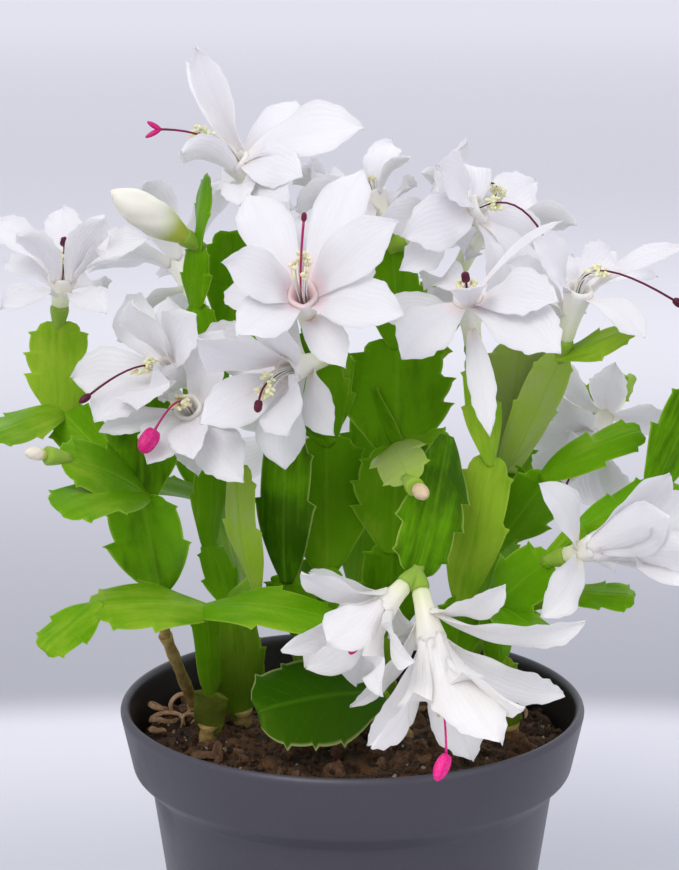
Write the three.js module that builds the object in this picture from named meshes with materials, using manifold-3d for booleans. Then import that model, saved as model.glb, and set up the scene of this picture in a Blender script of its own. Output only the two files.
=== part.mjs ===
// A Christmas cactus in flower, growing in a round grey nursery pot.
// Millimetres, +Z up. The origin is the centre of the pot's underside, and -Y is the plant's front.
import * as THREE from "three";
import { mergeVertices } from "three/addons/utils/BufferGeometryUtils.js";
import Module from "manifold-3d";

const wasm = await Module();
wasm.setup();

// ---- driving dimensions, mm ----
const POT = {
  height: 104,
  rimRadius: 65, // outside of the lip
  collarRadius: 61.5, // outside of the collar's lower edge
  collarFoot: 86, // height of the collar's lower edge
  bodyRadius: 56.5, // outside, just under the collar
  bodyTop: 81,
  baseRadius: 45,
  wall: 1.5,
  lip: 2.6,
  footWidth: 8,
  floorLift: 2.5, // how far the floor stands above the foot ring
  hubRadius: 12, // a flat disc at the centre, level with the foot ring
  drainRadius: 4,
  drainRing: 25,
  drainCount: 6,
  sides: 32,
};
const SOIL = {
  edge: 92, // height of its surface at the pot's wall
  crown: 4, // how much higher the middle is
  lumps: 1.6,
  rings: [0, 20, 39, 58], // radii of the surface's rings of points
  sectors: 18,
};
const FIT = 0.3; // gap between two pieces that meet
const ROOT = { depth: 12, radius: 2.4, rise: 3.2, sides: 5 }; // the woody foot of a stem, in its hole
const LEAF = {
  thick: 2.4, // at the midrib
  tipThick: 1.7,
  overlap: 2.2, // how far a segment's base is sunk in the one that carries it
  toothStep: 0.16, // how far the margin steps in after a tooth, as a share of the half width
};
const OVARY = { length: 5, sunk: 2, root: 1.8, top: 2.5, sides: 5 };
const TUBE = {
  sides: 6,
  base: 2.2,
  waist: 2.7,
  waistAt: 0.45,
  mouth: 4.3,
  bore: 1.2,
  throat: 2.2,
  boreSides: 5,
  seat: 1.5, // how far the pistil's foot stands above the tube's base
};
const STYLE = { radius: 0.6, sides: 4, beyond: 22, knob: [1.4, 3.2], knobNeck: 0.8 };
const BUD_SIDES = 8;

const colours = {
  pot: new THREE.MeshStandardMaterial({ color: 0x4d4b55, roughness: 0.55, metalness: 0 }),
  soil: new THREE.MeshStandardMaterial({ color: 0x2e1c12, roughness: 0.95, metalness: 0 }),
  leaf: new THREE.MeshStandardMaterial({ color: 0x4f8a0c, roughness: 0.4, metalness: 0 }),
  tepal: new THREE.MeshStandardMaterial({ color: 0xf1eef5, roughness: 0.5, metalness: 0 }),
  pistil: new THREE.MeshStandardMaterial({ color: 0xa8124c, roughness: 0.45, metalness: 0 }),
  bud: new THREE.MeshStandardMaterial({ color: 0xf0ecd6, roughness: 0.5, metalness: 0 }),
};

const FRONT = [0, -1, 0];

// ---- the plant: each stem is a chain of flat segments, and a segment starts at the tip of its "on" ----
// tip: where the segment ends; width: across its widest part; face: where its broad side looks;
// bow: how far its middle swells towards the face; cup: how far its margins curl towards the face.
const stems = {
  stem_left_low: {
    root: [-40, -9],
    segments: {
      stub: { tip: [-39, -10, 109], width: 13, face: [-0.3, -1, 0.1], teeth: 1 },
      neck: { on: "stub", tip: [-40, -20, 135], width: 10, face: [0.4, -1, 0], teeth: 1 },
      left: { on: "neck", tip: [-68, -34, 140], width: 20, face: [0, -0.5, 0.87], bow: 2, cup: -1 },
      leftTip: { on: "left", tip: [-80, -46, 132], width: 13, face: [0.2, -0.5, 0.85] },
      right: { on: "neck", tip: [-6, -40, 138], width: 17, face: [0, -0.5, 0.87], bow: 3 },
    },
  },
  stem_left_tall: {
    root: [-45, 12],
    segments: {
      twig: { tip: [-52, -3, 123], twig: 1.7 },
      twigTop: { on: "twig", tip: [-53, -7, 139], twig: 1.6 },
      fold: { on: "twigTop", tip: [-57, -12, 165], width: 24, face: [-0.2, -1, 0.1], cup: 4 },
      budLeaf: { on: "fold", tip: [-75, -36, 181], width: 18, face: [0.1, -0.8, 0.6], bow: 2 },
      underLeaf: { on: "fold", tip: [-75, -48, 170], width: 18, face: [-0.1, -0.75, 0.6], bow: 2 },
      roundLeaf: { on: "fold", tip: [-56, -14, 193], width: 22, face: [0.1, -1, 0], bow: -2, teeth: 3 },
      outer: { on: "fold", tip: [-80, 0, 186], width: 17, face: [0.3, -1, 0.2] },
      top: { on: "outer", tip: [-80, 2, 210], width: 20, face: [-0.1, -1, 0], teeth: 3 },
      side: { on: "outer", tip: [-96, -26, 184], width: 14, face: [0.1, -0.6, 0.8] },
    },
  },
  stem_left_inner: {
    root: [-31, 4],
    segments: {
      base: { tip: [-34, 0, 131], width: 18, face: [0.5, -0.9, 0] },
      low: { on: "base", tip: [-40, 2, 148], width: 11, face: [0.5, -0.9, 0] },
      high: { on: "low", tip: [-39, 0, 176], width: 12, face: [0.5, -0.9, 0] },
      hidden: { on: "high", tip: [-36, 0, 191], width: 11, face: [0.3, -1, 0] },
      crown: { on: "hidden", tip: [-43, 6, 214], width: 11, face: [0.3, -1, 0] },
      spur: { on: "crown", tip: [-42, 4, 231], width: 9, face: [-0.3, -1, 0] },
      spire: { on: "spur", tip: [-39, 2, 250], width: 11, face: [-0.9, -0.4, 0] },
      link: { on: "base", tip: [-26, -13, 140], width: 9, face: [0.2, -1, 0.3], teeth: 1 },
      bright: { on: "link", tip: [-30, -20, 175], width: 15, face: [-0.7, -0.7, 0], bow: 2 },
    },
  },
  stem_centre_left: {
    root: [-14, 10],
    segments: {
      base: { tip: [-14, 0, 122], width: 15, face: [0.9, -0.5, 0] },
      low: { on: "base", tip: [-18, -13, 143], width: 17, face: [-0.2, -1, 0] },
      front: { on: "low", tip: [-17, -22, 184], width: 17, face: [-0.3, -1, 0], bow: 2 },
      wideLow: { on: "base", tip: [-7, -6, 144], width: 20, face: [-0.5, -0.9, 0] },
      wide: { on: "wideLow", tip: [-7, -8, 180], width: 26, face: [0.1, -1, 0], bow: -2, teeth: 3 },
      upper: { on: "wide", tip: [-11, -20, 211], width: 17, face: [0, -1, 0.4] },
      right: { on: "wide", tip: [-4, -16, 205], width: 13, face: [0.3, -1, 0.3] },
      back: { on: "wide", tip: [-25, 4, 210], width: 15, face: [0.2, -1, 0.2] },
      crown: { on: "back", tip: [-22, 8, 241], width: 15, face: [0.3, -1, 0] },
      curl: { on: "wide", tip: [-33, 14, 205], width: 13, face: [-0.3, -1, 0.2], bow: 2 },
      flare: { on: "curl", tip: [-34, 16, 233], width: 16, face: [0, -1, 0.1], bow: -2 },
    },
  },
  stem_centre: {
    root: [8, 12],
    segments: {
      base: { tip: [10, 4, 122], width: 16, face: [-0.9, -0.5, 0] },
      low: { on: "base", tip: [11, -8, 150], width: 20, face: [-0.1, -1, 0] },
      mid: { on: "low", tip: [12, -12, 178], width: 24, face: [0, -1, 0.1], teeth: 3 },
      big: { on: "mid", tip: [12, -4, 206], width: 31, face: [0, -1, 0.1], bow: -2, teeth: 3 },
      high: { on: "big", tip: [10, 0, 231], width: 19, face: [0.4, -0.9, 0] },
      edge: { on: "mid", tip: [-3, 3, 199], width: 14, face: [-0.8, -0.6, 0] },
      cream: { on: "mid", tip: [14, -46, 177], width: 16, face: [-0.4, -0.4, 0.9], bow: 3 },
      link: { on: "mid", tip: [24, -29, 183], width: 12, face: [0.1, -0.9, 0.5], teeth: 1 },
      pendent: { on: "link", tip: [16, -49, 154], width: 18, face: [0.2, -1, 0.3], bow: 3, teeth: 3 },
    },
  },
  stem_centre_front: {
    root: [25, -6],
    segments: {
      base: { tip: [27, -16, 118], width: 13, face: [0, -1, 0], teeth: 1 },
      low: { on: "base", tip: [29, -26, 141], width: 15, face: [0.2, -1, 0] },
      ribbed: { on: "low", tip: [36, -24, 178], width: 17, face: [-0.1, -1, 0], bow: 2 },
      narrow: { on: "ribbed", tip: [32, -19, 204], width: 12, face: [0.5, -0.9, 0] },
    },
  },
  stem_right_tall: {
    root: [40, 14],
    segments: {
      base: { tip: [40, 4, 124], width: 16, face: [0.9, -0.5, 0] },
      low: { on: "base", tip: [40, -4, 150], width: 18, face: [0.5, -0.9, 0] },
      mid: { on: "low", tip: [42, -9, 173], width: 19, face: [-0.2, -1, 0] },
      tall: { on: "mid", tip: [45, -8, 206], width: 21, face: [-0.2, -1, 0], bow: -2, teeth: 3 },
      shoulder: { on: "mid", tip: [55, -14, 204], width: 15, face: [0.5, -0.9, 0.1] },
      wing: { on: "shoulder", tip: [74, -21, 212], width: 12, face: [-0.3, -0.5, 0.8], bow: -1 },
      dark: { on: "low", tip: [52, -18, 172], width: 20, face: [0.2, -1, 0.1], teeth: 3 },
      reach: { on: "dark", tip: [77, -14, 183], width: 13, face: [-0.3, -0.7, 0.6], bow: 2 },
    },
  },
  stem_right_low: {
    root: [44, -4],
    segments: {
      base: { tip: [40, -14, 120], width: 12, face: [0, -1, 0], teeth: 1 },
      low: { on: "base", tip: [38, -26, 138], width: 13, face: [0.2, -1, 0.2], teeth: 1 },
      spoon: { on: "low", tip: [51, -38, 154], width: 18, face: [-0.1, -0.9, 0.5], bow: 2 },
      ledge: { on: "low", tip: [48, -52, 138], width: 14, face: [-0.1, -0.2, 1] },
      link: { on: "spoon", tip: [60, -33, 162], width: 8, face: [0, -1, 0.3], teeth: 1 },
      rise: { on: "link", tip: [79, -27, 171], width: 12, face: [0.2, -0.6, 0.8], bow: -2 },
      far: { on: "rise", tip: [91, -20, 196], width: 16, face: [0.3, -1, 0.2] },
      low2: { on: "low", tip: [58, -28, 142], width: 10, face: [0.1, -0.6, 0.9], teeth: 1 },
      small: { on: "low2", tip: [74, -32, 142], width: 12, face: [0, -0.5, 0.9] },
      rim: { on: "rise", tip: [98, -36, 163], width: 13, face: [0.2, -0.7, 0.7] },
    },
  },
  stem_front: {
    root: [12, -12],
    segments: {
      base: { tip: [6, -20, 111], width: 9, face: [0.2, -1, 0], teeth: 1 },
      apron: { on: "base", tip: [-25, -37, 112], width: 28, face: [0, -0.7, 0.7], bow: 3, cup: -2, teeth: 3 },
    },
  },
  stem_back_left: {
    root: [-28, 30],
    segments: {
      base: { tip: [-33, 36, 122], width: 16, face: [0.8, 0.6, 0] },
      mid: { on: "base", tip: [-40, 46, 150], width: 20, face: [-0.9, 0.5, 0.1] },
      upper: { on: "mid", tip: [-46, 52, 176], width: 22, face: [-0.7, 0.7, 0.2], bow: 2 },
      top: { on: "upper", tip: [-42, 48, 202], width: 19, face: [-0.8, 0.6, 0.1] },
      side: { on: "mid", tip: [-68, 38, 160], width: 17, face: [-0.2, 0.5, 0.85] },
    },
  },
  stem_back_centre: {
    root: [0, 34],
    segments: {
      base: { tip: [2, 38, 124], width: 16, face: [-0.8, 0.6, 0] },
      mid: { on: "base", tip: [6, 44, 154], width: 20, face: [0.6, 0.8, 0] },
      upper: { on: "mid", tip: [10, 42, 184], width: 24, face: [-0.4, 0.9, 0.1], bow: 2 },
      top: { on: "upper", tip: [28, 30, 216], width: 20, face: [0.3, 1, 0.2] },
      side: { on: "mid", tip: [-14, 68, 168], width: 18, face: [-0.1, 0.6, 0.8] },
    },
  },
  stem_back_right: {
    root: [32, 34],
    segments: {
      base: { tip: [38, 38, 122], width: 15, face: [-0.7, 0.7, 0] },
      mid: { on: "base", tip: [46, 42, 150], width: 19, face: [0.8, 0.6, 0] },
      upper: { on: "mid", tip: [58, 38, 176], width: 20, face: [0.8, 0.6, 0.1], bow: 2 },
      top: { on: "upper", tip: [80, 37, 187], width: 16, face: [0.2, 0.7, 0.6] },
      side: { on: "mid", tip: [52, 68, 160], width: 17, face: [0.1, 0.5, 0.85] },
    },
  },
};

// A bloom opens at its mouth: outer tepals spring from its tube, and inner ones from the mouth.
// A tepal is [turn, lean, reach, slim]: degrees round the flower, degrees off its axis, length, and the
// share of its tier's width, where that isn't the bloom's own.
// droop: how far the style's end bends away from the axis; style: how far it stands out;
// looks: where the faces of the tepals turn; slim: the share of its tier's width that a tepal has;
// knob: [radius, length] of the stigma.
const RING = {
  inner: [[10, 55, 30], [70, 70, 31], [130, 50, 29], [190, 75, 31], [250, 60, 30], [310, 70, 29]],
  outer: [[40, 95, 24], [112, 105, 25], [200, 90, 23], [290, 110, 25]],
};
const blooms = {
  front: {
    looks: FRONT, stem: "stem_centre", on: "pendent", mouth: [20, -62, 138], droop: [-3, 2, 0], style: 30,
    knob: [1.8, 4.8],
    inner: [
      [0, 14, 26, 0.7], [55, 35, 36, 0.9], [120, 50, 30, 0.7], [185, 42, 34], [235, 65, 36],
      [300, 34, 33, 0.9], [320, 22, 38, 1.15],
    ],
    outer: [[120, 62, 30, 0.6], [155, 100, 20], [290, 66, 42], [310, 80, 26, 0.9]],
  },
  front_left: {
    looks: FRONT, stem: "stem_centre", on: "pendent", mouth: [6, -59, 146], droop: [0, 0, -2], style: 9,
    inner: [
      [45, 15, 22], [130, 20, 27, 0.7], [185, 50, 25], [215, 70, 24], [310, 32, 25, 0.8],
      [335, 55, 24, 0.7],
    ],
    outer: [[85, 50, 26], [145, 85, 24], [230, 110, 20, 0.8]],
  },
  centre: {
    stem: "stem_centre_left", on: "upper", mouth: [-13, -48, 226], droop: [2, 6, 10], style: 20,
    inner: [[60, 55, 31], [108, 48, 33], [150, 92, 35], [200, 95, 30], [258, 34, 27], [312, 45, 27]],
    outer: [[22, 55, 25], [130, 115, 25], [178, 100, 26], [240, 115, 25]],
  },
  hanging: {
    looks: FRONT, stem: "stem_centre_left", on: "right", mouth: [-18, -34, 203], droop: [5, 3, -4], style: 18,
    inner: [[55, 51, 24], [110, 24, 30], [160, 92, 23], [220, 20, 28], [270, 70, 23], [315, 38, 24]],
    outer: [[130, 116, 19], [230, 95, 21], [310, 62, 22]],
  },
  left_dark: {
    looks: FRONT, stem: "stem_left_inner", on: "hidden", mouth: [-51, -16, 201], droop: [-6, 0, -13],
    style: 19,
    inner: [[60, 55, 24], [100, 24, 25], [165, 85, 26], [225, 60, 24], [285, 45, 24], [330, 42, 22]],
    outer: [[65, 84, 23], [130, 60, 21], [200, 100, 21], [350, 32, 20]],
  },
  left_pink: {
    looks: FRONT, stem: "stem_left_inner", on: "high", mouth: [-44, -22, 192], droop: [-4, 0, -15], style: 19,
    knob: [2.5, 6.5],
    inner: [
      [0, 50, 24, 0.8], [20, 75, 28], [60, 59, 25], [120, 39, 25], [275, 70, 22, 0.5],
      [325, 56, 22, 0.9],
    ],
    outer: [[215, 110, 22], [355, 60, 20]],
  },
  far_left: {
    looks: FRONT, stem: "stem_left_tall", on: "top", mouth: [-78, -2, 224], droop: [0, -3, 0], style: 9,
    slim: 0.78,
    inner: [[50, 25, 26], [70, 48, 28], [120, 60, 22], [190, 65, 24], [250, 62, 22], [325, 42, 24]],
    outer: [[40, 80, 20], [150, 105, 20], [230, 92, 22], [330, 82, 24]],
  },
  top_left: {
    looks: FRONT, stem: "stem_centre_left", on: "crown", mouth: [-32, 0, 255], droop: [-8, 0, -8],
    slim: 0.9, knob: [1.4, 4.5],
    inner: [
      [30, 95, 24], [60, 95, 36, 1.1], [120, 15, 33], [125, 112, 30], [172, 48, 31, 0.3], [325, 32, 22],
    ],
    outer: [[15, 85, 26], [110, 135, 22], [210, 110, 22], [350, 70, 22]],
  },
  upper_mid: {
    looks: FRONT, stem: "stem_centre", on: "high", mouth: [5, 3, 246], droop: [0, 6, -4], style: 7,
    inner: [[35, 75, 20, 0.35], [152, 50, 22, 0.72], [200, 75, 22], [245, 60, 22], [310, 85, 25]],
    outer: [[145, 75, 19, 0.9], [170, 105, 20], [215, 92, 22], [335, 105, 20]],
  },
  upper_right: {
    looks: FRONT, stem: "stem_centre", on: "high", mouth: [35, -8, 243], droop: [-2, 4, -20],
    inner: [
      [48, 90, 30, 0.9], [90, 75, 26], [135, 78, 26], [210, 100, 26], [320, 85, 24],
      [350, 112, 30, 1.1],
    ],
    outer: [[5, 102, 28], [145, 95, 21], [210, 85, 21], [335, 108, 24]],
  },
  right_centre: {
    looks: FRONT, stem: "stem_centre_front", on: "narrow", mouth: [29, -34, 224], droop: [0, 0, 0], style: 4,
    inner: [
      [0, 30, 20, 0.7], [35, 80, 32, 1.1], [50, 62, 28], [130, 90, 34, 0.2], [200, 123, 24, 0.9],
      [315, 85, 24],
    ],
    outer: [[0, 100, 33, 0.7], [120, 140, 22], [215, 115, 22], [255, 85, 23]],
  },
  right_wing: {
    looks: FRONT, stem: "stem_right_tall", on: "shoulder", mouth: [59, -23, 224], droop: [20, 4, -23],
    inner: [
      [50, 90, 20, 0.7], [100, 51, 28, 0.45], [135, 97, 30, 0.45], [158, 86, 22, 0.85], [180, 100, 22],
      [280, 40, 19],
    ],
    outer: [[180, 130, 18], [258, 80, 21], [278, 53, 23]],
  },
  back_right: {
    looks: FRONT, stem: "stem_back_right", on: "top", mouth: [67, 23, 172], droop: [0, 0, -4], style: 14,
    inner: [[15, 45, 22], [50, 75, 20], [110, 60, 22], [175, 57, 21], [225, 75, 23], [300, 50, 23]],
    outer: [[30, 98, 21], [100, 105, 21], [215, 98, 21], [335, 95, 21]],
  },
  right_low: {
    looks: FRONT, stem: "stem_right_low", on: "spoon", mouth: [63, -46, 160], droop: [0, 0, -4], style: 18,
    inner: [[30, 14, 33, 1.1], [75, 26, 31], [120, 38, 28], [180, 34, 27], [245, 20, 28], [330, 14, 30]],
    outer: [[10, 95, 25], [150, 95, 21], [295, 78, 25]],
  },
  back_tall: {
    looks: FRONT, stem: "stem_back_centre", on: "top", mouth: [38, 30, 236], droop: [-10, -6, -10],
    inner: [[15, 85, 21], [80, 60, 24], [150, 45, 23], [200, 70, 22], [265, 75, 20], [330, 75, 21]],
    outer: [[130, 75, 21], [170, 95, 21], [250, 105, 22], [320, 95, 21]],
  },
  back_left: {
    looks: [-0.6, 0.7, 0.3], stem: "stem_back_left", on: "top", mouth: [-52, 58, 221], droop: [0, 3, -4],
    ...RING,
  },
  back_low: {
    looks: [0, 1, 0.3], stem: "stem_back_centre", on: "side", mouth: [-18, 88, 160], droop: [0, 2, -5],
    ...RING,
  },
};
// rows: [place along the tepal, share of its width]
const OUTER = { from: 0.42, width: 11, rows: [[0, 0.24], [0.38, 0.86], [0.74, 0.88], [1, 0]] };
const INNER = { from: 0.84, width: 14, rows: [[0, 0.22], [0.3, 0.7], [0.58, 1], [0.82, 0.7], [1, 0]] };
const TEPAL = {
  thick: 1.2,
  sunk: 1, // how far its root lies inside the tube's wall
  turn: 0.6, // how far its face turns, by its tip, to where the bloom looks
  curl: 25, // degrees between its chord and its direction at either end
  leastSpread: 8, // the least that its direction at the root leans off the flower's axis
};

const buds = {
  bud_left: { stem: "stem_left_inner", on: "spur", tip: [-64, -8, 247], radius: 5 },
  bud_tip: { stem: "stem_left_tall", on: "budLeaf", tip: [-84, -43, 184], radius: 1.8 },
  bud_cream: { stem: "stem_centre", on: "cream", tip: [18, -58, 176], radius: 2 },
};

// ---- solids ----
const vec = (p) => new THREE.Vector3(...p);
const along = (a, b, t) => a.clone().lerp(b, t);

function solidOf(geometry) {
  const bare = geometry.clone();
  bare.deleteAttribute("normal");
  bare.deleteAttribute("uv");
  const merged = mergeVertices(bare, 1e-4);
  return new wasm.Manifold(
    new wasm.Mesh({
      numProp: 3,
      vertProperties: new Float32Array(merged.attributes.position.array),
      triVerts: new Uint32Array(merged.index.array),
    }),
  );
}

function meshOf(name, solid, material) {
  const made = solid.getMesh();
  const geometry = new THREE.BufferGeometry();
  geometry.setAttribute("position", new THREE.BufferAttribute(new Float32Array(made.vertProperties), 3));
  geometry.setIndex(new THREE.BufferAttribute(new Uint32Array(made.triVerts), 1));
  geometry.computeVertexNormals();
  const mesh = new THREE.Mesh(geometry, material);
  mesh.name = name;
  return mesh;
}

function shell(points, faces) {
  const geometry = new THREE.BufferGeometry().setFromPoints(points);
  geometry.setIndex(faces);
  return solidOf(geometry);
}

// A closed skin over rows of points. A row is a loop that runs counter-clockwise about the way the rows go,
// or one point at a tip. Diagonals alternate, so a thin blade's two faces are split alike.
function loft(rows) {
  const first = [];
  const points = [];
  for (const row of rows) {
    first.push(points.length);
    points.push(...row);
  }
  const faces = [];
  for (let r = 0; r + 1 < rows.length; r++) {
    const [a, b] = [first[r], first[r + 1]];
    const [na, nb] = [rows[r].length, rows[r + 1].length];
    const n = Math.max(na, nb);
    for (let i = 0; i < n; i++) {
      const j = (i + 1) % n;
      if (na === 1) faces.push(a, b + j, b + i);
      else if (nb === 1) faces.push(a + i, a + j, b);
      else if (i % 2 === 0) faces.push(a + i, a + j, b + j, a + i, b + j, b + i);
      else faces.push(a + i, a + j, b + i, a + j, b + j, b + i);
    }
  }
  const end = first.at(-1);
  for (let i = 1; i + 1 < rows[0].length; i++) faces.push(0, i + 1, i);
  for (let i = 1; i + 1 < rows.at(-1).length; i++) faces.push(end, end + i, end + i + 1);
  return shell(points, faces);
}

// Two unit vectors square to an axis: the first is as near as can be to a wished-for direction.
function across(axis, wish) {
  const face = vec(wish).addScaledVector(axis, -vec(wish).dot(axis)).normalize();
  return [face, new THREE.Vector3().crossVectors(axis, face)];
}

// A vector square to the axis, for a round piece to start from.
const anyAcross = (axis) => across(axis, Math.abs(axis.y) > 0.9 ? [0, 0, 1] : FRONT);

function ring(centre, u, v, radius, sides) {
  return Array.from({ length: sides }, (_, i) => {
    const a = (2 * Math.PI * i) / sides;
    return centre.clone().addScaledVector(u, radius * Math.cos(a)).addScaledVector(v, radius * Math.sin(a));
  });
}

// Margin of a segment, from base to tip: [place, half width], with a step in after each tooth.
function outline(teeth) {
  const stations = [[0.2, 0.6]];
  for (let k = 1; k <= teeth; k++) {
    const at = 0.24 + (0.64 * k) / teeth;
    const wide = 1.02 - 1.8 * (at - 0.58) ** 2;
    stations.push([at, wide], [at + 0.02, wide - LEAF.toothStep]);
  }
  stations.push([1.01, 0.4]);
  return stations;
}
const STRAIGHT_RIDGE = [0.12, 0.5, 0.97]; // places of the midrib's points
const BOWED_RIDGE = [0.12, 0.4, 0.7, 0.97];

// Triangles between two lines of points that run the same way; each line is {first, at: its places}.
function web(faces, a, b) {
  let [i, j] = [0, 0];
  while (i + 1 < a.at.length || j + 1 < b.at.length) {
    const useA = j + 1 === b.at.length || (i + 1 < a.at.length && a.at[i + 1] <= b.at[j + 1]);
    if (useA) faces.push(a.first + i, b.first + j, a.first + i + 1);
    else faces.push(a.first + i, b.first + j, b.first + j + 1);
    if (useA) i += 1;
    else j += 1;
  }
}

function twigSolid(base, end, radius) {
  const axis = end.clone().sub(base).normalize();
  const [u, v] = anyAcross(axis);
  const tail = base.clone().addScaledVector(axis, -1);
  return loft([ring(tail, u, v, radius, 6), ring(end, u, v, radius * 0.9, 6)]);
}

// A flat segment: a midrib line on each face and a toothed margin on each side, joined by four webs.
function segment(base, { tip, width, face, bow = 0, cup = 0, teeth = 2, twig }) {
  const end = vec(tip);
  if (twig) return twigSolid(base, end, twig);
  const axis = end.clone().sub(base).normalize();
  const start = base.clone().addScaledVector(axis, -LEAF.overlap);
  const [u, v] = across(axis, face);
  const margin = outline(teeth);
  const spine = bow ? BOWED_RIDGE : STRAIGHT_RIDGE;
  const middle = (t) => along(start, end, t).addScaledVector(u, 4 * bow * t * (1 - t));
  const ridgePoint = (side, t) => {
    const thick = t > 0.9 ? LEAF.tipThick : LEAF.thick;
    return middle(t).addScaledVector(u, (side * thick) / 2);
  };
  const edgePoint = (side, t, half) => {
    const point = middle(t).addScaledVector(u, cup * half * half);
    return point.addScaledVector(v, (side * half * width) / 2);
  };
  const points = [start];
  const loop = [];
  for (const side of [1, -1]) {
    loop.push({ first: points.length, at: spine });
    points.push(...spine.map((t) => ridgePoint(side, t)));
    loop.push({ first: points.length, at: margin.map(([t]) => t) });
    points.push(...margin.map(([t, half]) => edgePoint(side, t, half)));
  }
  const faces = [];
  loop.forEach((side, k) => {
    const next = loop[(k + 1) % 4];
    web(faces, side, next);
    faces.push(0, next.first, side.first);
  });
  const [e, f, g, h] = loop.map((side) => side.first + side.at.length - 1);
  faces.push(e, f, g, e, g, h);
  return shell(points, faces);
}

// The green foot of a flower or bud, in one with the segment that bears it.
function ovary(tip, mouth) {
  const axis = mouth.clone().sub(tip).normalize();
  const [u, v] = anyAcross(axis);
  const root = tip.clone().addScaledVector(axis, -OVARY.sunk);
  const end = tip.clone().addScaledVector(axis, OVARY.length);
  return loft([ring(root, u, v, OVARY.root, OVARY.sides), ring(end, u, v, OVARY.top, OVARY.sides)]);
}

// ---- pot and soil ----
// Radius of the pot's inside wall at a height, under the collar.
const wallInside = (z) => POT.baseRadius + ((POT.bodyRadius - POT.baseRadius) * z) / POT.bodyTop - POT.wall;

function pot() {
  const p = POT;
  const foot = p.baseRadius - p.footWidth;
  const floor = p.floorLift + p.wall;
  const profile = [
    [0, 0],
    [p.hubRadius, 0],
    [p.hubRadius + 1, p.floorLift],
    [foot - 1, p.floorLift],
    [foot, 0],
    [p.baseRadius, 0],
    [p.bodyRadius, p.bodyTop],
    [p.collarRadius, p.collarFoot],
    [p.rimRadius, p.height - 1.6],
    [p.rimRadius - 1.2, p.height],
    [p.rimRadius - p.lip, p.height - 1.2],
    [p.collarRadius - p.wall, p.collarFoot + 1],
    [p.bodyRadius - p.wall, p.bodyTop + 1],
    [wallInside(floor), floor],
    [0, floor],
  ];
  const turned = new THREE.LatheGeometry(profile.map(([r, z]) => new THREE.Vector2(r, z)), p.sides);
  let made = solidOf(turned.rotateX(Math.PI / 2));
  for (let i = 0; i < p.drainCount; i++) {
    const a = (2 * Math.PI * i) / p.drainCount;
    const drill = new THREE.CylinderGeometry(p.drainRadius, p.drainRadius, 12, 6).rotateX(Math.PI / 2);
    drill.translate(p.drainRing * Math.cos(a), p.drainRing * Math.sin(a), 2);
    made = made.subtract(solidOf(drill));
  }
  return made;
}

// Height of the soil's surface: a low mound with crumbs.
function soilHeight(x, y) {
  const rim = Math.hypot(x, y) / SOIL.rings.at(-1);
  const crumbs = Math.sin(x * 0.55 + 1) * Math.cos(y * 0.47) + 0.6 * Math.sin(x * 0.23 - y * 0.31);
  return SOIL.edge + SOIL.crown * (1 - rim * rim) + SOIL.lumps * crumbs * (1 - 0.5 * rim);
}

// A loop of points round the pot's axis, at one height or on the soil's surface.
function level(radius, z) {
  return Array.from({ length: SOIL.sectors }, (_, i) => {
    const a = (2 * Math.PI * i) / SOIL.sectors;
    const [x, y] = [radius * Math.cos(a), radius * Math.sin(a)];
    return new THREE.Vector3(x, y, z ?? soilHeight(x, y));
  });
}

function soil() {
  const floor = POT.floorLift + POT.wall + FIT;
  const clear = 2 * FIT; // the soil has fewer sides than the pot, so its corners keep further off
  const rows = [
    [new THREE.Vector3(0, 0, floor)],
    level(wallInside(floor) - FIT - clear, floor),
    level(wallInside(POT.bodyTop) - FIT - clear, POT.bodyTop),
    level(POT.bodyRadius - POT.wall - clear, POT.bodyTop + 1.8),
    level(POT.collarRadius - POT.wall - 2 * clear, POT.collarFoot + 2),
  ];
  for (const radius of [...SOIL.rings].reverse()) {
    if (radius > 0) rows.push(level(radius));
    else rows.push([new THREE.Vector3(0, 0, soilHeight(0, 0))]);
  }
  return loft(rows);
}

// ---- stems ----
// The foot of a stem goes down through the soil's surface in a plain hole.
function rooted(root, first) {
  const top = new THREE.Vector3(...root, soilHeight(...root) + ROOT.rise);
  const lean = vec(first.tip).sub(top).normalize();
  const [u, v] = anyAcross(lean);
  const radius = first.twig ?? ROOT.radius;
  const peg = (from, to, r0, r1) => {
    const [low, high] = [from, to].map((d) => top.clone().addScaledVector(lean, d));
    return loft([ring(low, u, v, r0, ROOT.sides), ring(high, u, v, r1, ROOT.sides)]);
  };
  return {
    top,
    foot: peg(-ROOT.depth, 0, radius * 0.8, radius),
    hole: peg(-ROOT.depth - FIT, ROOT.rise, radius + FIT, radius + 1),
  };
}

let ground = soil();
const stemParts = {};
const tips = {};
for (const [name, { root, segments }] of Object.entries(stems)) {
  const { top, foot, hole } = rooted(root, Object.values(segments)[0]);
  ground = ground.subtract(hole);
  stemParts[name] = [foot];
  for (const [key, shape] of Object.entries(segments)) {
    const base = shape.on ? tips[`${name}.${shape.on}`] : top;
    stemParts[name].push(segment(base, shape));
    tips[`${name}.${key}`] = vec(shape.tip);
  }
}
for (const { stem, on, mouth, tip } of [...Object.values(blooms), ...Object.values(buds)]) {
  stemParts[stem].push(ovary(tips[`${stem}.${on}`], vec(mouth ?? tip)));
}

// ---- blooms ----
function bloomFrame({ stem, on, mouth, looks, slim = 1 }) {
  const tip = tips[`${stem}.${on}`];
  const end = vec(mouth);
  const axis = end.clone().sub(tip).normalize();
  const base = tip.clone().addScaledVector(axis, OVARY.length + FIT);
  const [u, v] = anyAcross(axis);
  return { base, end, axis, u, v, looks, slim, length: end.distanceTo(base) };
}

// A round skin along a flower's axis. Its rings are [place, radius]: 0 is the base, and 1 the end.
function roundSkin(f, sides, rings) {
  return loft(rings.map(([t, r]) => ring(along(f.base, f.end, t), f.u, f.v, r, sides)));
}

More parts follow.
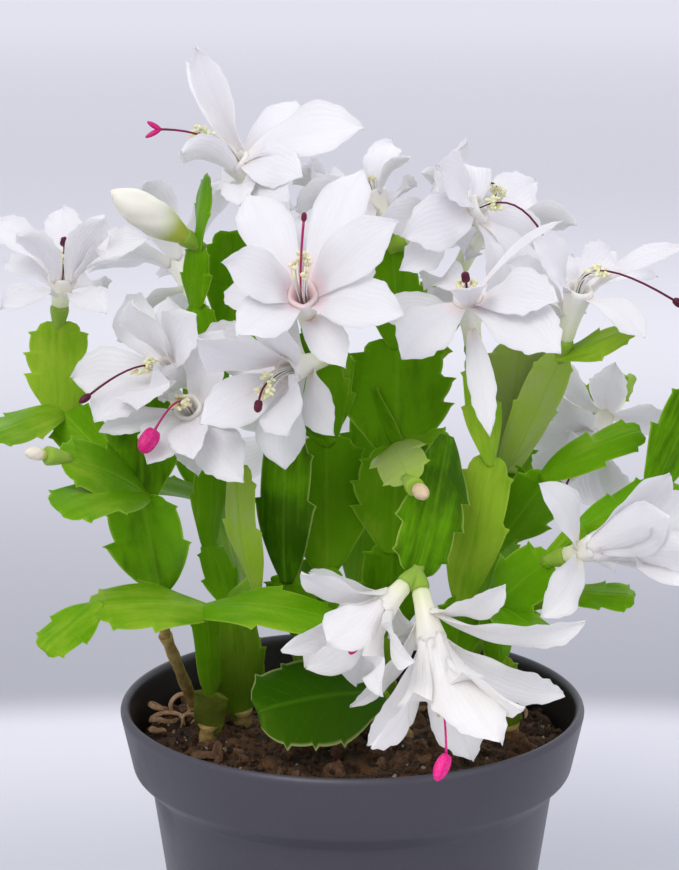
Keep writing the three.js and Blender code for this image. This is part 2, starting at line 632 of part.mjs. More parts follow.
const tubeSolid = (f) =>
  roundSkin(f, TUBE.sides, [[0, TUBE.base], [TUBE.waistAt, TUBE.waist], [1, TUBE.mouth]]);
const boreSolid = (f) =>
  roundSkin(f, TUBE.boreSides, [[TUBE.seat / f.length, TUBE.bore], [0.6, TUBE.bore], [1.02, TUBE.throat]]);

// A tepal leaves its tube at one angle from the flower's axis and curls on to another.
function tepal(f, tier, [turn, lean, reach, slim = f.slim]) {
  const around = THREE.MathUtils.degToRad(turn);
  const out = f.u.clone().multiplyScalar(Math.cos(around)).addScaledVector(f.v, Math.sin(around));
  const side = new THREE.Vector3().crossVectors(f.axis, out);
  const heading = (degrees) => {
    const a = THREE.MathUtils.degToRad(degrees);
    return f.axis.clone().multiplyScalar(Math.cos(a)).addScaledVector(out, Math.sin(a));
  };
  const rootRadius = THREE.MathUtils.lerp(TUBE.base, TUBE.mouth, tier.from) - TEPAL.sunk;
  const root = along(f.base, f.end, tier.from).addScaledVector(out, rootRadius);
  const curl = Math.min(TEPAL.curl, lean - TEPAL.leastSpread);
  const kneeReach = reach / 2 / Math.cos(THREE.MathUtils.degToRad(curl));
  const knee = root.clone().addScaledVector(heading(lean - curl), kneeReach);
  const tip = root.clone().addScaledVector(heading(lean), reach);
  const path = new THREE.QuadraticBezierCurve3(root, knee, tip);
  const rows = tier.rows.map(([t, half]) => {
    const p = path.getPoint(t);
    if (half === 0) return [p];
    const tangent = path.getTangent(t);
    const face = new THREE.Vector3().crossVectors(tangent, side).normalize();
    if (f.looks) {
      const [wish] = across(tangent, f.looks);
      face.lerp(wish.multiplyScalar(Math.sign(wish.dot(face)) || 1), TEPAL.turn * t).normalize();
    }
    const wing = new THREE.Vector3().crossVectors(face, tangent);
    const wide = (half * slim * tier.width) / 2;
    const margin = p.clone().addScaledVector(face, TEPAL.thick / 2);
    return [
      margin.clone().addScaledVector(wing, -wide),
      p.clone().addScaledVector(face, -TEPAL.thick / 2),
      margin.clone().addScaledVector(wing, wide),
    ];
  });
  return loft(rows);
}

function bloomSolid(f, { inner, outer }) {
  const parts = [tubeSolid(f)];
  for (const one of inner) parts.push(tepal(f, INNER, one));
  for (const one of outer) parts.push(tepal(f, OUTER, one));
  return wasm.Manifold.union(parts).subtract(boreSolid(f));
}

// The style stands on the tube's floor, bends away from the axis once it is out, and ends in a knob.
function pistil(f, { droop, style = STYLE.beyond, knob = STYLE.knob }) {
  const foot = TUBE.seat + FIT;
  const reach = f.length - foot + style;
  const inside = (f.length - foot) / reach;
  const start = along(f.base, f.end, foot / f.length);
  const at = (s) => {
    const free = Math.max(0, s - inside) / (1 - inside);
    return start.clone().addScaledVector(f.axis, reach * s).addScaledVector(vec(droop), free * free);
  };
  const wish = f.u.toArray();
  const rows = [0, inside, inside + (1 - inside) * 0.45, 1].map((s) => {
    const [u, v] = across(at(s + 0.02).sub(at(s - 0.02)).normalize(), wish);
    return ring(at(s), u, v, STYLE.radius, STYLE.sides);
  });
  const lead = at(1).sub(at(0.96)).normalize();
  const [u, v] = across(lead, wish);
  const [wide, long] = knob;
  for (const [beyond, radius] of [[STYLE.knobNeck, wide], [long, wide / 2]]) {
    rows.push(ring(at(1).addScaledVector(lead, beyond), u, v, radius, STYLE.sides));
  }
  return loft(rows);
}

function budSolid(f, radius) {
  const rings = [[0, 0.55], [0.3, 0.95], [0.6, 1], [0.85, 0.55]];
  const rows = rings.map(([t, r]) => ring(along(f.base, f.end, t), f.u, f.v, r * radius, BUD_SIDES));
  return loft([...rows, [f.end]]);
}

// ---- the assembly ----
const plant = new THREE.Group();
plant.add(meshOf("pot", pot(), colours.pot));
plant.add(meshOf("soil", ground, colours.soil));
for (const [name, parts] of Object.entries(stemParts)) {
  plant.add(meshOf(name, wasm.Manifold.union(parts), colours.leaf));
}
for (const [name, bloom] of Object.entries(blooms)) {
  const f = bloomFrame(bloom);
  plant.add(meshOf(`bloom_${name}`, bloomSolid(f, bloom), colours.tepal));
  plant.add(meshOf(`pistil_${name}`, pistil(f, bloom), colours.pistil));
}
for (const [name, { stem, on, tip, radius }] of Object.entries(buds)) {
  plant.add(meshOf(name, budSolid(bloomFrame({ stem, on, mouth: tip }), radius), colours.bud));
}

export default plant;
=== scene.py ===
import math

import bpy
import numpy as np
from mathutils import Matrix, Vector


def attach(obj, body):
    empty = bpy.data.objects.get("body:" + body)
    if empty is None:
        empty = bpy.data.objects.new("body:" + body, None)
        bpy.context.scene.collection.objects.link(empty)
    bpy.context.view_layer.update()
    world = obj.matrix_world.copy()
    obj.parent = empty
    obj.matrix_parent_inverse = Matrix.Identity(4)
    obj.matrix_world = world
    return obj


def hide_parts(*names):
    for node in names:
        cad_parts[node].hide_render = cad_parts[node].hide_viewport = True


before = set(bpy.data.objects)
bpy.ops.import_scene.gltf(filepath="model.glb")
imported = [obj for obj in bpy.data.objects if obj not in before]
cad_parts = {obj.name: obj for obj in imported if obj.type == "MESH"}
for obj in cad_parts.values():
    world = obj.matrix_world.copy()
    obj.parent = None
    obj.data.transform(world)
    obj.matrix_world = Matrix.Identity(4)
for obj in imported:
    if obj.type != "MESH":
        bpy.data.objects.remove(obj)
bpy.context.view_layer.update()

mm = 0.001
fullTurn = 2 * math.pi
looseTurn = 6.28  # near enough a full turn, for random angles
print("stage: frame loaded")

# camera, light and floor
camera = dict(place=(-0.0036, -0.61605, 0.3113), tiltUp=77.9, lens=95.17, sensor=36, nearest=0.01)
studio = dict(
    skyColour=(0.72, 0.72, 0.80), skyStrength=0.95, aim=(0, 0, 0.15),
    key=dict(place=(-0.55, -1.0, 1.25), size=0.9, power=10.0, colour=(1.0, 0.99, 0.96)),
    fill=dict(place=(0.9, -0.7, 0.7), size=1.2, power=2.5, colour=(0.95, 0.96, 1.0)),
    back=dict(place=(0.3, 1.0, 1.3), size=1.2, power=5.0, colour=(1.0, 1.0, 1.0)),
)
# painted light and shade on the floor by the distance from the pot, which is stretched from side to side: a
# painted shadow round the pot (inner), the pale floor (near), a darker band further out (middle), and a far
# floor painted lighter, with a painted glow towards the horizon
floorLook = dict(
    inner=(0.60, 0.62, 0.66), near=(0.77, 0.77, 0.82), middle=(0.42, 0.43, 0.465), far=(0.90, 0.90, 0.93),
    paintedShadowRadius=0.13, nearRadius=0.275, middleRadius=0.325, farRadius=1.35, horizonRadius=9.0,
    fade=0.8, glow=0.16, roughness=0.8, halfSize=60.0, stretch=0.5,
)


def place(name, data):
    made = bpy.data.objects.new(name, data)
    bpy.context.collection.objects.link(made)
    return made


def makeCamera():
    lens = bpy.data.cameras.new("photoCamera")
    lens.lens = camera["lens"]
    lens.sensor_width = camera["sensor"]
    lens.clip_start = camera["nearest"]
    eye = place("photoCamera", lens)
    eye.location = camera["place"]
    eye.rotation_euler = (math.radians(camera["tiltUp"]), 0, 0)
    bpy.context.scene.camera = eye


def makeLamp(name):
    look = studio[name]
    lamp = bpy.data.lights.new(name, "AREA")
    lamp.shape = "DISK"
    lamp.size = look["size"]
    lamp.energy = look["power"]
    lamp.color = look["colour"]
    holder = place(name, lamp)
    holder.location = look["place"]
    aim = Vector(studio["aim"]) - holder.location
    holder.rotation_euler = aim.to_track_quat("-Z", "Y").to_euler()


# small helpers for materials and geometry nodes
def setInput(tree, node, label, value):
    socket = node.inputs[label]
    if isinstance(value, bpy.types.NodeSocket):
        tree.links.new(value, socket)
    elif socket.type == "RGBA":
        socket.default_value = (*value, 1)
    else:
        socket.default_value = value


def newNode(tree, kind, output, inputs, options):
    # makes a node and gives one of its outputs; an input is a value or another node's output
    node = tree.nodes.new(kind)
    for label, value in options.items():
        setattr(node, label, value)
    for label, value in dict(inputs).items():
        setInput(tree, node, label, value)
    return node.outputs[output]


class Finish:
    # one material round a principled shader
    def __init__(self, name, settings):
        self.material = bpy.data.materials.new(name)
        self.material.use_nodes = True
        self.tree = self.material.node_tree
        self.shader = self.tree.nodes["Principled BSDF"]
        for label, value in settings.items():
            self.set(label, value)

    def set(self, label, value):
        setInput(self.tree, self.shader, label, value)

    def add(self, kind, output=0, inputs=(), **options):
        return newNode(self.tree, "ShaderNode" + kind, output, inputs, options)

    def spot(self):
        return self.add("TexCoord", "Object")

    def mark(self, name):
        return self.add("Attribute", "Fac", attribute_name=name)

    def math(self, operation, a, b=0.0):
        return self.add("Math", 0, {0: a, 1: b}, operation=operation)

    def plus(self, a, b):
        return self.math("ADD", a, b)

    def minus(self, a, b):
        return self.math("SUBTRACT", a, b)

    def times(self, a, b):
        return self.math("MULTIPLY", a, b)

    def size(self, a):
        return self.math("ABSOLUTE", a)

    def sine(self, a):
        return self.math("SINE", a)

    def span(self, value, low, high, start=0.0, end=1.0):
        inputs = {"Value": value, "From Min": low, "From Max": high, "To Min": start, "To Max": end}
        return self.add("MapRange", 0, inputs, interpolation_type="SMOOTHSTEP")

    def mix(self, share, a, b):
        return self.add("Mix", 2, {0: share, 6: a, 7: b}, data_type="RGBA")

    def noise(self, where, scale, detail=4.0, roughness=0.5):
        inputs = {"Vector": where, "Scale": scale, "Detail": detail, "Roughness": roughness}
        return self.add("TexNoise", "Fac", inputs)

    def stretch(self, where, scale):
        return self.add("Mapping", 0, {"Vector": where, "Scale": scale})

    def height(self, where):
        return self.add("SeparateXYZ", "Z", {0: where})

    def reach(self, where, wide=1.0):
        # how far a place is from the upright axis
        return self.add("VectorMath", "Value", {0: self.stretch(where, (wide, 1.0, 0.0))}, operation="LENGTH")

    def bump(self, height, look):
        inputs = {"Height": height, "Strength": look["bump"], "Distance": look["bumpDepth"]}
        self.set("Normal", self.add("Bump", 0, inputs))

    def colour(self, value):
        self.set("Base Color", value)


class Growth:
    # one geometry node tree with named inputs, the last of them the finish
    def __init__(self, name, **kinds):
        self.tree = bpy.data.node_groups.new(name, "GeometryNodeTree")
        sockets = self.tree.interface
        sockets.new_socket("Geometry", in_out="INPUT", socket_type="NodeSocketGeometry")
        for label, kind in kinds.items():
            sockets.new_socket(label, in_out="INPUT", socket_type="NodeSocket" + kind)
        sockets.new_socket("Finish", in_out="INPUT", socket_type="NodeSocketMaterial")
        sockets.new_socket("Geometry", in_out="OUTPUT", socket_type="NodeSocketGeometry")
        self.given = self.tree.nodes.new("NodeGroupInput").outputs
        self.result = self.tree.nodes.new("NodeGroupOutput").inputs["Geometry"]

    def add(self, kind, output=0, inputs=(), **options):
        return newNode(self.tree, kind, output, inputs, options)

    def geo(self, kind, output=0, inputs=(), **options):
        return self.add("GeometryNode" + kind, output, inputs, **options)

    def math(self, operation, a, b):
        return self.add("ShaderNodeMath", 0, {0: a, 1: b}, operation=operation)

    def close(self, geometry):
        real = self.geo("RealizeInstances", 0, {"Geometry": geometry})
        dressed = self.geo("SetMaterial", 0, {"Geometry": real, "Material": self.given["Finish"]})
        self.tree.links.new(dressed, self.result)
        return self.tree


def grow(seedMesh, name, tree, values):
    # runs a tree on a mesh and keeps the result as a plain mesh
    seedPiece = place(name, seedMesh)
    modifier = seedPiece.modifiers.new("grow", "NODES")
    modifier.node_group = tree
    for item in tree.interface.items_tree:
        if item.item_type == "SOCKET" and item.in_out == "INPUT" and item.name in values:
            modifier[item.identifier] = values[item.name]
    bpy.context.view_layer.update()
    ready = seedPiece.evaluated_get(bpy.context.evaluated_depsgraph_get())
    grown = bpy.data.meshes.new_from_object(ready)
    seedPiece.modifiers.remove(modifier)
    seedPiece.data = grown
    grown.name = name
    return seedPiece


# small helpers for shapes
class Skins:
    # gathers closed skins for one piece; marks are numbers kept at each point for the material
    def __init__(self, *markNames):
        self.points, self.faces, self.rims, self.count = [], [], [], 0
        self.marks = {name: [] for name in markNames}

    def addLoops(self, loops, rims=(), **marks):
        # rows of loops that run anticlockwise about the way the rows go, closed by a fan at each end;
        # rims: places in a loop where a sharp edge runs down the rows
        rows, around = loops.shape[:2]
        first = self.count
        ends = np.array([loops[0].mean(0), loops[-1].mean(0)])
        self.points.append(np.concatenate([loops.reshape(-1, 3), ends]))
        rim = np.zeros(rows * around + 2, int)
        for k, spot in enumerate(rims):
            rim[np.arange(rows) * around + spot] = k + 1
        self.rims.append(rim)
        for name, values in self.marks.items():
            given = np.broadcast_to(np.asarray(marks.get(name, 0.0), float), (rows, around))
            values.append(np.concatenate([given.reshape(-1), [given[0].mean(), given[-1].mean()]]))
        i = np.arange(around)
        j = (i + 1) % around
        for row in range(rows - 1):
            a = first + row * around
            b = a + around
            self.faces += np.stack([a + i, a + j, b + j, b + i], 1).tolist()
        low, high = first + rows * around, first + rows * around + 1
        last = first + (rows - 1) * around
        self.faces += np.stack([np.full(around, low), first + j, first + i], 1).tolist()
        self.faces += np.stack([np.full(around, high), last + i, last + j], 1).tolist()
        self.count += rows * around + 2

    def mesh(self, name, material):
        mesh = bpy.data.meshes.new(name)
        mesh.from_pydata((np.concatenate(self.points) * mm).tolist(), [], self.faces)
        mesh.polygons.foreach_set("use_smooth", [True] * len(mesh.polygons))
        rim = np.concatenate(self.rims)
        if rim.any():
            ends = np.zeros(len(mesh.edges) * 2, np.int32)
            mesh.edges.foreach_get("vertices", ends)
            low, high = rim[ends[0::2]], rim[ends[1::2]]
            sharp = mesh.attributes.new("sharp_edge", "BOOLEAN", "EDGE")
            sharp.data.foreach_set("value", (low > 0) & (low == high))
        for label, values in self.marks.items():
            layer = mesh.attributes.new(label, "FLOAT", "POINT")
            layer.data.foreach_set("value", np.concatenate(values).astype(np.float32))
        mesh.materials.append(material)
        return mesh

    def piece(self, name, material):
        return place(name, self.mesh(name, material))


def finishPiece(made, slotName, *nodes):
    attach(made, "root")
    if nodes:
        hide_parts(*nodes)
    return made


def unit(v):
    return v / np.linalg.norm(v)


def squareTo(axis, wish):
    # two unit vectors square to an axis, the first as near as can be to a wished-for direction
    wish = np.array(wish, float)
    face = unit(wish - axis * wish.dot(axis))
    return face, np.cross(axis, face)


def anySquare(axis):
    return squareTo(axis, (0, 0, 1) if abs(axis[1]) > 0.9 else (0, -1, 0))


def through(stations, t):
    # a smooth line through [place, value] stations that doesn't overshoot much
    x, y = np.array(stations, float).T
    slope = np.gradient(y, x)
    k = np.clip(np.searchsorted(x, t) - 1, 0, len(x) - 2)
    h = x[k + 1] - x[k]
    s = (t - x[k]) / h
    value = (2 * s**3 - 3 * s**2 + 1) * y[k] + (s**3 - 2 * s**2 + s) * h * slope[k]
    return value + (3 * s**2 - 2 * s**3) * y[k + 1] + (s**3 - s**2) * h * slope[k + 1]


def curved(a, knee, b, t):
    # a curve from a to b that starts and ends toward the knee
    return a * (1 - t) ** 2 + knee * 2 * t * (1 - t) + b * t * t


def anglesOf(count):
    return np.arange(count) * fullTurn / count


def ringAt(angle, radius, height):
    return np.stack([radius * np.cos(angle), radius * np.sin(angle), height + 0 * angle], 1)


def spokesOf(f, angle):
    return np.outer(np.cos(angle), f["u"]) + np.outer(np.sin(angle), f["v"])


def roundLoops(centres, radii, around, ridge=None):
    # loops of a round skin along a line of points; ridge: how high its ridges are, and how many
    centres = np.array(centres, float)
    radii = np.broadcast_to(np.asarray(radii, float), (len(centres),))
    angle = anglesOf(around)
    loops = []
    face = None
    for centre, way, radius in zip(centres, np.gradient(centres, axis=0), radii):
        way = unit(way)
        u, v = anySquare(way) if face is None else squareTo(way, face)
        face = u
        wide = radius * (np.ones(around) if ridge is None else 1 + ridge[0] * np.cos(ridge[1] * angle))
        loops.append(centre + np.outer(wide * np.cos(angle), u) + np.outer(wide * np.sin(angle), v))
    return np.array(loops)


def bothSides(top, under=None):
    # values given across a blade's columns, for its top and then its underside
    under = top if under is None else under
    return np.concatenate([top, under[:, -2:0:-1]], axis=1)


def bladeLoops(centre, up, side, reach, lift, thick):
    # loops of a flat blade; reach: how far each point is from the middle line
    flat = centre + side * reach[..., None]
    return bothSides(flat + up * (lift + thick / 2)[..., None], flat + up * (lift - thick / 2)[..., None])


# materials; a pair of numbers is where a change starts and ends
leafLook = dict(
    shader={"Subsurface Weight": 0.10, "Subsurface Radius": (0.4, 1.0, 0.05), "Subsurface Scale": 0.0012,
            "Specular IOR Level": 0.28, "Specular Tint": (0.72, 0.92, 0.10)},
    # deep, lit, fresh and pale: greens picked by each segment's tone, which is partly its own colour and
    # partly painted light and shade; pale is partly a painted sheen
    deep=(0.021, 0.086, 0.001), lit=(0.112, 0.315, 0.003), fresh=(0.29, 0.46, 0.03), pale=(0.34, 0.42, 0.15),
    # the settings on the next line give random patches and painted highlight lines along each leaf
    patchScale=55.0, patches=0.9, streakScale=2.4, streakCount=2.2, streakShift=60.0, paintedStreaks=0.6,
    margin=(0.38, 0.52, 0.07), cream=(0.58, 0.60, 0.24), marginShare=0.5, marginSpan=(0.91, 1.0),
    vein=(0.20, 0.42, 0.02), veinCount=4.2, veinLean=1.1, veinWidth=0.14, veinShare=(0.14, 0.32),
    ribWidth=0.09, bark=(0.27, 0.18, 0.06), tan=(0.48, 0.34, 0.13), cork=(0.080, 0.085, 0.014),
    # the tones over which one colour gives way to the next
    litSpan=(0.0, 0.5), freshSpan=(0.5, 1.05), paleSpan=(0.95, 1.6), paleShare=0.8, veinSpan=(-0.2, 0.7),
    creamSpan=(0.0, 0.25), corkSpan=(0.1, 0.35),
    barkScale=420.0, grainScale=260.0, roughness=(0.32, 0.5), roughScale=90.0, bump=0.45, bumpDepth=0.0005,
)
petalLook = dict(
    # the painted glow stands for light that comes through thin petals, and lifts their shade
    shader={"Roughness": 0.5, "Subsurface Weight": 0.45, "Subsurface Radius": (1.0, 0.97, 1.0),
            "Subsurface Scale": 0.0015, "Sheen Weight": 0.08,
            "Emission Color": (0.73, 0.715, 0.735), "Emission Strength": 0.065},
    # low, white and top: painted light by height; the petals are painted warmer and lighter low down, darkest
    # at middle height and a little lighter at the top
    low=(0.87, 0.848, 0.815), white=(0.73, 0.715, 0.735), top=(0.77, 0.755, 0.78), paintedLowLightSpan=(0.17, 0.13),
    paintedTopLightSpan=(0.235, 0.26), cool=(0.64, 0.62, 0.64), keelSpan=(0.25, 0.0), keelShade=0.16, lineShade=0.06,
    lineCount=30.0, wobble=0.35, wobbleScale=120.0, tubeGreen=(0.62, 0.70, 0.32), cream=(0.86, 0.84, 0.66),
    blush=(0.86, 0.46, 0.58), blushShare=0.8, grainScale=300.0, bump=0.26, bumpDepth=0.0003,
)
styleLook = dict(
    shader={"Roughness": 0.42, "Specular IOR Level": 0.3, "Subsurface Weight": 0.1,
            "Subsurface Scale": 0.0006},
    foot=(0.70, 0.42, 0.42), dark=(0.060, 0.003, 0.012), bright=(0.90, 0.003, 0.27), footSpan=(0.55, 0.3),
    footShare=(0.12, 0.8), speckles=0.14, grainScale=1500.0, bump=0.5, bumpDepth=0.0002,
)
budLook = dict(
    shader={"Roughness": 0.45, "Subsurface Weight": 0.25, "Subsurface Scale": 0.002},
    white=(0.86, 0.85, 0.74), green=(0.50, 0.58, 0.07), tan=(0.62, 0.42, 0.20), greenSpan=(0.52, 0.20),
    wander=0.2, wanderScale=160.0, grain=(1.0, 1.0, 0.4), grainScale=500.0, bump=0.3, bumpDepth=0.0003,
)
threadLook = dict(
    shader={"Subsurface Weight": 0.2, "Subsurface Scale": 0.0008},
    grainScale=900.0, bump=0.4, bumpDepth=0.0001,
    filamentSkin=((0.88, 0.87, 0.84), (0.78, 0.78, 0.66), 0.45),  # colour, its spots and roughness
    antherSkin=((0.84, 0.83, 0.56), (0.76, 0.72, 0.36), 0.7),
)
groundLook = dict(
    shader={"Roughness": 0.88}, clodSpan=(0.38, 0.64), fineSpan=(0.56, 0.72), fineness=5.0,
    bump=0.9, bumpDepth=0.0016,
    # dark, light and fleck colours, and the scale of the clods
    soilSkin=((0.018, 0.008, 0.003), (0.12, 0.052, 0.016), (0.22, 0.095, 0.03), 160.0),
    crumbSkin=((0.018, 0.008, 0.003), (0.12, 0.052, 0.016), (0.14, 0.07, 0.03), 420.0),
    barkSkin=((0.09, 0.040, 0.018), (0.21, 0.105, 0.05), (0.34, 0.21, 0.11), 240.0),
    curlSkin=((0.30, 0.16, 0.08), (0.62, 0.39, 0.23), (0.72, 0.50, 0.33), 260.0),
    gritSkin=((0.46, 0.38, 0.26), (0.62, 0.54, 0.42), (0.34, 0.24, 0.14), 700.0),
)
potLook = dict(
    # the darkest colour on the next line is painted shade for the wall inside the rim
    grey=(0.054, 0.051, 0.069), dust=(0.10, 0.096, 0.11), paintedShade=(0.013, 0.011, 0.012),
    roughness=(0.38, 0.55), hazeScale=28.0, haze=0.22, rubScale=70.0, rubStretch=(1.0, 1.0, 12.0), rubs=0.18,
    insideRadius=0.06075, insideFrom=0.087, insideFlare=0.19, paintedShadeSpan=(0.1032, 0.1005),
    grainScale=2200.0, bump=0.22, bumpDepth=0.0002,
)


def makeLeafSkin():
    look = leafLook
    f = Finish("leafSkin", look["shader"])
    where = f.spot()
    across, along, segmentTone, wood = f.size(f.mark("across")), f.mark("along"), f.mark("tone"), f.mark("wood")
    # each segment's tone, partly painted light and shade, with random patches added
    patches = f.noise(where, look["patchScale"], 3.0)
    tone = f.plus(segmentTone, f.times(f.minus(patches, 0.5), look["patches"]))
    # painted highlights and shade in lines that run along the leaf, added to its tone
    aside, shift = f.times(f.mark("side"), look["streakCount"]), f.times(segmentTone, look["streakShift"])
    grown = f.add("CombineXYZ", 0, {"X": aside, "Y": along, "Z": shift})
    paintedStreaks = f.noise(grown, look["streakScale"], 4.0, 0.6)
    tone = f.plus(tone, f.times(f.minus(paintedStreaks, 0.5), look["paintedStreaks"]))
    skin = f.mix(f.span(tone, *look["litSpan"]), look["deep"], look["lit"])
    skin = f.mix(f.span(tone, *look["freshSpan"]), skin, look["fresh"])
    # pale: a whitish green on the brightest tones, partly painted sheen on lit segments and partly the
    # ovaries' own colour
    skin = f.mix(f.times(f.span(tone, *look["paleSpan"]), look["paleShare"]), skin, look["pale"])
    rib = f.span(across, look["ribWidth"], 0.0)
    fan = f.minus(f.times(along, look["veinCount"]), f.times(across, look["veinLean"]))
    vein = f.span(f.size(f.sine(f.times(fan, fullTurn))), look["veinWidth"], 0.0)
    veinShare = f.math("MAXIMUM", rib, f.times(vein, 0.3))
    veinShare = f.times(veinShare, f.span(segmentTone, *look["veinSpan"], *look["veinShare"]))
    skin = f.mix(veinShare, skin, look["vein"])
    margin = f.mix(f.span(segmentTone, *look["creamSpan"]), look["cream"], look["margin"])
    skin = f.mix(f.times(f.span(across, *look["marginSpan"]), look["marginShare"]), skin, margin)
    grain = f.noise(where, look["barkScale"], 3.0, 0.6)
    bark = f.mix(f.span(grain, 0.25, 0.75), look["bark"], look["tan"])
    bark = f.mix(f.span(segmentTone, *look["corkSpan"]), bark, look["cork"])
    f.colour(f.mix(wood, skin, bark))
    relief = f.plus(f.times(rib, -0.5), f.times(vein, -0.25))
    relief = f.plus(relief, f.times(f.noise(where, look["grainScale"], 4.0), 0.8))
    relief = f.plus(relief, f.times(f.times(wood, grain), 2.5))
    f.bump(relief, look)
    f.set("Roughness", f.span(f.noise(where, look["roughScale"]), 0.3, 0.7, *look["roughness"]))
    return f.material


def makePetalSkin():
    look = petalLook
    f = Finish("petalSkin", look["shader"])
    where, across = f.spot(), f.mark("across")
    wobble = f.times(f.noise(where, look["wobbleScale"], 2.0), look["wobble"])
    lines = f.sine(f.times(f.plus(across, wobble), look["lineCount"]))
    shade = f.times(f.span(f.size(across), *look["keelSpan"]), look["keelShade"])
    shade = f.plus(shade, f.times(f.span(lines, 0.2, 1.0), look["lineShade"]))
    # painted light: the petals' white changes with their height
    height = f.height(where)
    white = f.mix(f.span(height, *look["paintedLowLightSpan"]), look["white"], look["low"])
    white = f.mix(f.span(height, *look["paintedTopLightSpan"]), white, look["top"])
    skin = f.mix(shade, white, look["cool"])
    skin = f.mix(f.times(f.mark("blush"), look["blushShare"]), skin, look["blush"])
    skin = f.mix(f.mark("cream"), skin, look["cream"])
    f.colour(f.mix(f.mark("green"), skin, look["tubeGreen"]))
    f.bump(f.plus(f.times(lines, 0.25), f.noise(where, look["grainScale"], 3.0)), look)
    return f.material


def makeStyleSkin():
    look = styleLook
    f = Finish("styleSkin", look["shader"])
    tone = f.mark("tone")
    least, rise = look["footShare"]
    footShare = f.times(f.span(f.mark("along"), *look["footSpan"]), f.plus(f.times(tone, rise), least))
    skin = f.mix(footShare, f.mix(tone, look["dark"], look["bright"]), look["foot"])
    grain = f.noise(f.spot(), look["grainScale"], 3.0)
    speckle = f.times(f.span(grain, 0.4, 0.7), f.times(tone, look["speckles"]))
    f.colour(f.mix(speckle, skin, look["foot"]))
    f.bump(grain, look)
    return f.material


def makeBudSkin():
    look = budLook
    f = Finish("budSkin", look["shader"])
    where = f.spot()
    wander = f.plus(f.mark("along"), f.times(f.noise(where, look["wanderScale"], 2.0), look["wander"]))
    skin = f.mix(f.span(wander, *look["greenSpan"]), look["white"], look["green"])
    f.colour(f.mix(f.mark("tan"), skin, look["tan"]))
    f.bump(f.noise(f.stretch(where, look["grain"]), look["grainScale"], 3.0), look)
    return f.material


def makeThreadSkin(name):
    look = threadLook
    colour, spotColour, roughness = look[name]
    f = Finish(name, {**look["shader"], "Roughness": roughness})
    grain = f.noise(f.spot(), look["grainScale"], 3.0)
    f.colour(f.mix(f.span(grain, 0.4, 0.65), colour, spotColour))
    f.bump(grain, look)
    return f.material


def makeGroundSkin(name):
    look = groundLook
    low, high, flecks, scale = look[name]
    f = Finish(name, look["shader"])
    where = f.spot()
    clods = f.noise(where, scale, 6.0, 0.65)
    fine = f.noise(where, scale * look["fineness"], 5.0, 0.7)
    skin = f.mix(f.span(clods, *look["clodSpan"]), low, high)
    f.colour(f.mix(f.span(fine, *look["fineSpan"]), skin, flecks))
    f.bump(f.plus(clods, f.times(fine, 0.6)), look)
    return f.material


def makePotSkin():
    look = potLook
    f = Finish("potPlastic", {})
    where = f.spot()
    haze = f.span(f.noise(where, look["hazeScale"], 5.0, 0.6), 0.42, 0.75)
    rubs = f.span(f.noise(f.stretch(where, look["rubStretch"]), look["rubScale"], 4.0, 0.7), 0.60, 0.78)
    skin = f.mix(f.times(haze, look["haze"]), look["grey"], look["dust"])
    skin = f.mix(f.times(rubs, look["rubs"]), skin, look["dust"])
    # painted shade: the wall inside the rim is painted nearly black, up to just under the lip
    height = f.height(where)
    wall = f.plus(f.times(f.minus(height, look["insideFrom"]), look["insideFlare"]), look["insideRadius"])
    within = f.span(f.minus(wall, f.reach(where)), -0.0002, 0.0002)
    paintedShade = f.times(within, f.span(height, *look["paintedShadeSpan"]))
    paintedShade = f.times(paintedShade, f.math("GREATER_THAN", height, look["insideFrom"]))
    f.colour(f.mix(paintedShade, skin, look["paintedShade"]))
    f.set("Roughness", f.span(haze, 0.0, 1.0, *look["roughness"]))
    f.bump(f.noise(where, look["grainScale"], 3.0, 0.6), look)
    return f.material


def makeFloorSkin():
    look = floorLook
    f = Finish("paleFloor", {"Roughness": look["roughness"], "Emission Color": look["far"]})
    radius = f.reach(f.spot(), look["stretch"])
    # painted shadow: the floor is painted darker towards the pot
    skin = f.mix(f.span(radius, look["paintedShadowRadius"], look["nearRadius"]), look["inner"], look["near"])
    skin = f.mix(f.span(radius, look["nearRadius"], look["middleRadius"]), skin, look["middle"])
    # painted light: far from the pot the floor is painted lighter
    fade = f.math("POWER", f.span(radius, look["middleRadius"], look["farRadius"]), look["fade"])
    f.colour(f.mix(fade, skin, look["far"]))
    # painted glow: the far floor gives off more light towards the horizon, though it is no lamp
    f.set("Emission Strength", f.span(radius, look["farRadius"], look["horizonRadius"], 0.0, look["glow"]))
    return f.material


def makeFloor():
    size = floorLook["halfSize"]
    mesh = bpy.data.meshes.new("floor")
    corners = [(-size, -size, 0), (size, -size, 0), (size, size, 0), (-size, size, 0)]
    mesh.from_pydata(corners, [], [(0, 1, 2, 3)])
    mesh.materials.append(makeFloorSkin())
    place("floor", mesh)


makeCamera()
for lampName in ("key", "fill", "back"):
    makeLamp(lampName)
world = bpy.data.worlds.new("studioWorld")
world.use_nodes = True
sky = world.node_tree.nodes["Background"].inputs
sky["Color"].default_value = (*studio["skyColour"], 1)
sky["Strength"].default_value = studio["skyStrength"]
bpy.context.scene.world = world
bpy.context.scene.view_settings.view_transform = "Standard"
makeFloor()
leafSkin, petalSkin, styleSkin, budSkin = makeLeafSkin(), makePetalSkin(), makeStyleSkin(), makeBudSkin()
filamentSkin, antherSkin = makeThreadSkin("filamentSkin"), makeThreadSkin("antherSkin")
soilSkin, crumbSkin, barkSkin, curlSkin, gritSkin = (
    makeGroundSkin(name) for name in ("soilSkin", "crumbSkin", "barkSkin", "curlSkin", "gritSkin")
)
potSkin = makePotSkin()
print("stage: studio and finishes made")

